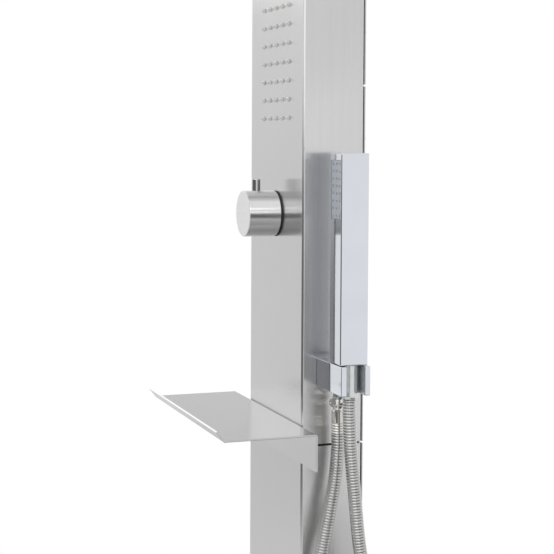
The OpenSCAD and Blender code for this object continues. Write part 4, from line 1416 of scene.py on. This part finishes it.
@dataclass
class Holder(Assembly):
    """Chromed block with a slot that is open outwards, its flat seal and the outlet below."""

    slot_radius: float = 9.9 * MM
    tail_radius: float = 6 * MM
    tail_y: float = 3 * MM
    ball_drop: float = 13 * MM
    neck_share: float = 0.68
    cap_turn: float = 30.0
    # One rib of the collar: share of its height, and how far that point lies inside the crest
    collar_rib: tuple = ((0.0, 1.1 * MM), (0.18, 0.4 * MM), (0.4, 0.0), (0.6, 0.05 * MM),
                         (0.85, 0.5 * MM))
    collar_ribs: int = 4
    steps: int = 28

    def block(self) -> None:
        """Cut the block and turn its tail."""
        low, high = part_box("holder")
        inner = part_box("holder_gasket")[1].x
        nut, r = upright("hand_nut")[0], self.slot_radius
        x, y = nut.x, nut.y
        turns = [math.pi * (1.5 - i / self.steps) for i in range(self.steps + 1)]
        arc = [Vector((x + r * math.cos(a), y + r * math.sin(a), 0)) for a in turns]
        outline = [Vector((high.x, y - r, 0)), *arc, Vector((high.x, y + r, 0)),
                   Vector((high.x, high.y, 0)), Vector((inner, high.y, 0)),
                   Vector((inner, low.y, 0)), Vector((high.x, low.y, 0))]
        lift = Vector((0, 0, low.z))
        form = Form().prism([p + lift for p in outline], Vector((0, 0, high.z - low.z)))
        mesh = form.mesh("holder_block", bevel_mm=0.7, segments=3)
        self.publish("holder_block", mesh, Finishes.chrome, ("holder",), "chrome")
        # The slot's walls get the plating with painted light, which keeps the slot from going black
        mesh.materials.append(Finishes.plated.material())
        # The slot's walls: upright faces within its reach, apart from the block's outer end
        reach, upright_under, outward_from = r + 0.1 * MM, 0.2, 0.95
        for face in mesh.polygons:
            near = abs(face.center.y - y) < reach and face.center.x > x - reach
            if near and abs(face.normal.z) < upright_under and face.normal.x < outward_from:
                face.material_index = 1
        t, long = self.tail_radius, inner - low.x + 1 * MM
        profile = [(0, 0), (t - 0.6 * MM, 0), (t, 0.6 * MM), (t, long), (0, long)]
        foot = Vector((low.x, self.tail_y, (low.z + high.z) / 2))
        self.lathe("holder_tail", profile, foot, Axis.X, 40, Finishes.chrome, (), "chrome")

    def gasket(self) -> None:
        """Cut the flat seal between block and column."""
        low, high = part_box("holder_gasket")
        mesh = Form().box(low, high).mesh("holder_seal", bevel_mm=0.1, segments=1)
        self.publish(mesh.name, mesh, Finishes.rubber, ("holder_gasket",), "gasket_rubber")

    def elbow(self) -> None:
        """Shape the small round outlet with the ringed cap on its front."""
        foot, r, tall = upright("outlet_ball")
        top, under, neck = self.ball_drop, self.ball_drop - tall, r * self.neck_share
        centre = foot + Vector((0, 0, -under))
        turns = [math.radians(44 + 8 * i) for i in range(12)]
        arc = [(r * math.sin(a), r * math.cos(a)) for a in turns]
        profile = [(0, top), (neck, top), *arc, (neck, under + 1.2 * MM), (neck, under), (0, under)]
        ball = Form().turned(profile, centre, Axis.Z, 48)
        cap = 4.9 * MM
        front = Vector((centre.x, centre.y - r - 1.6 * MM, centre.z - 0.6 * MM))
        lid = [(0, 0.6 * MM), (cap - 1.9 * MM, 0.6 * MM), (cap - 1.4 * MM, 0), (cap - 0.4 * MM, 0),
               (cap, 0.4 * MM), (cap, 2.2 * MM), (cap - 0.8 * MM, 3.0 * MM), (cap - 0.8 * MM, r), (0, r)]
        turn = Matrix.Rotation(math.radians(self.cap_turn), 3, "Z")
        ball.joined(Form().turned(lid, front, Axis.Y, 40), turn, centre)
        mesh = ball.mesh("outlet_elbow")
        self.publish(mesh.name, mesh, Finishes.bright, ("outlet_ball",), "chrome")

    def nut(self) -> None:
        """Turn the outlet's nut."""
        foot, r, tall = upright("outlet_nut")
        e = 0.7 * MM
        profile = [(BORE, 0), (r - e, 0), (r, e), (r, tall - e * 2), (r - e, tall - e),
                   (r - 2 * e, tall), (BORE, tall)]
        self.lathe("outlet_nut_turned", profile, foot, Axis.Z, 48, Finishes.nickel,
                   ("outlet_nut",), "chrome")

    def collar(self) -> None:
        """Crimp the collar, with its rounded ribs."""
        foot, r, tall = upright("outlet_collar")
        step = tall / self.collar_ribs
        ribs = [(r - depth, step * (i + share)) for i in range(self.collar_ribs)
                for share, depth in self.collar_rib]
        profile = [(BORE, 0), *ribs, (r - self.collar_rib[0][1], tall), (BORE, tall)]
        self.lathe("outlet_collar_crimped", profile, foot, Axis.Z, 48, Finishes.nickel,
                   ("outlet_collar",), "chrome")

    def build(self) -> None:
        """Make the holder and the outlet."""
        self.block()
        self.gasket()
        self.elbow()
        self.nut()
        self.collar()


@dataclass
class HandShower(Assembly):
    """Square chromed hand shower with a spray pad in its front."""

    body: str = "hand_shower"
    edge_mm: float = 1.3
    pad_columns: int = 3
    pad_rows: int = 8
    recess: float = 0.7 * MM
    window_depth: float = 2.4 * MM
    nozzle_radius: float = 1.4 * MM
    nozzle_height: float = 0.9 * MM
    turn_deg: float = -1.4

    def turned(self, point: Vector) -> Vector:
        """Where a point goes as the hand shower stands a little turned in its holder."""
        foot = upright("hand_nut")[0]
        return Matrix.Rotation(math.radians(self.turn_deg), 3, "Z") @ (point - foot) + foot

    def turn_mesh(self, mesh: bpy.types.Mesh) -> bpy.types.Mesh:
        """Turn a mesh with the hand shower."""
        for vertex in mesh.vertices:
            vertex.co = self.turned(vertex.co)
        return mesh

    def stick(self) -> None:
        """Make the square stick up to its cap's top, with the recess for the pad."""
        low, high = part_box("hand_body")
        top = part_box("hand_cap")[1].z
        mesh = Form().box(low, Vector((high.x, high.y, top))).mesh("hand_stick", self.edge_mm, 4)
        corner, inner = self.window()
        proud = Vector((0, 5 * MM, 0))
        blade = show("window_cutter", Form().box(corner - proud, inner).mesh("window_cutter"))
        rough = show("hand_stick", mesh)
        cut = rough.modifiers.new("window", "BOOLEAN")
        cut.operation, cut.object, cut.solver = "DIFFERENCE", blade, "EXACT"
        final = self.turn_mesh(baked(rough, "hand_stick_chromed"))
        bpy.data.objects.remove(blade)
        self.publish(final.name, final, Finishes.chrome, ("hand_body", "hand_cap"), "chrome")

    def window(self) -> tuple[Vector, Vector]:
        """The window's two corners in the stick's front."""
        low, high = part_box("hand_pad")
        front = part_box("hand_body")[0].y
        side, end = 0.4 * MM, 1.5 * MM
        return (Vector((low.x + side, front, low.z + end)),
                Vector((high.x - side, front + self.window_depth, high.z - end)))

    def pad(self) -> None:
        """Mould the pad and set its nozzles."""
        low, high = self.window()
        gap = 0.25 * MM
        face = low.y + self.recess
        form = Form().box(Vector((low.x + gap, face, low.z + gap)),
                          Vector((high.x - gap, high.y, high.z - gap)))
        mesh = form.mesh("spray_pad_moulded", bevel_mm=0.4)
        self.publish(mesh.name, self.turn_mesh(mesh), Finishes.pad, ("hand_pad",), "spray_pad")
        xs = cell_middles(low.x, high.x, self.pad_columns)
        zs = cell_middles(low.z, high.z, self.pad_rows)
        steps = ((0.3, 1.0), (0.4, 0.85), (0.3, 0.6))
        out = self.turned(-Axis.Y.vector) - self.turned(Vector((0, 0, 0)))
        nozzle = TurnedRepeat("spray_nozzle_set", steps, self.nozzle_radius, self.nozzle_height, out,
                              sides=14)
        spots = [self.turned(Vector((x, face, z))) for x in xs for z in zs]
        self.scatter(nozzle, spots, Finishes.pad, "hand_nozzles", "silicone")

    def nut(self) -> None:
        """Turn the nut that joins the hose to the hand shower."""
        foot, r, tall = upright("hand_nut")
        profile = [(BORE, 0), (r - 1.4 * MM, 0), (r - 0.9 * MM, 0.5 * MM), (r - 0.4 * MM, 1.8 * MM),
                   (r, 4 * MM), (r, tall), (BORE, tall)]
        # The nut gets the same plating with painted light
        self.lathe("hand_nut_turned", profile, foot, Axis.Z, 56, Finishes.plated,
                   ("hand_nut",), "chrome")

    def build(self) -> None:
        """Make the hand shower."""
        self.stick()
        self.pad()
        self.nut()


class Inside:
    """The water ways and brackets that stay as their CAD solids."""

    def build(self) -> None:
        """Give every shown CAD node the finish of its material slot, and the joining sleeve the black
        painted shade of the seam.
        """
        slots = {part["node"]: part["material_slot"] for part in frame["record"]["subparts"]}
        for name, piece in frame["nodes"].items():
            if piece.hide_render:
                continue
            # The joining sleeve gets the black painted shade of the seam instead of its slot's finish
            finish = Finishes.mastic if name == "joining_sleeve" else SLOT_FINISH[slots[name]]
            piece.data.materials.clear()
            piece.data.materials.append(finish.material())
            log.info("%s: %s", name, finish.name)


def main() -> None:
    logging.basicConfig(level=logging.INFO, format="%(message)s")
    studio = Studio()
    studio.camera()
    Hose().build()
    studio.build()
    Column().build()
    RainArm().build()
    BodyJets().build()
    knobs = [Knob(body=name, prefix=name) for name in ("mixer", "diverter")]
    for knob in knobs:
        knob.build()
    studio.light_knob([piece for piece in knobs[0].pieces if "knob" in piece.name])
    Shelf().build()
    Holder().build()
    HandShower().build()
    Inside().build()


if __name__ == "__main__":
    main()
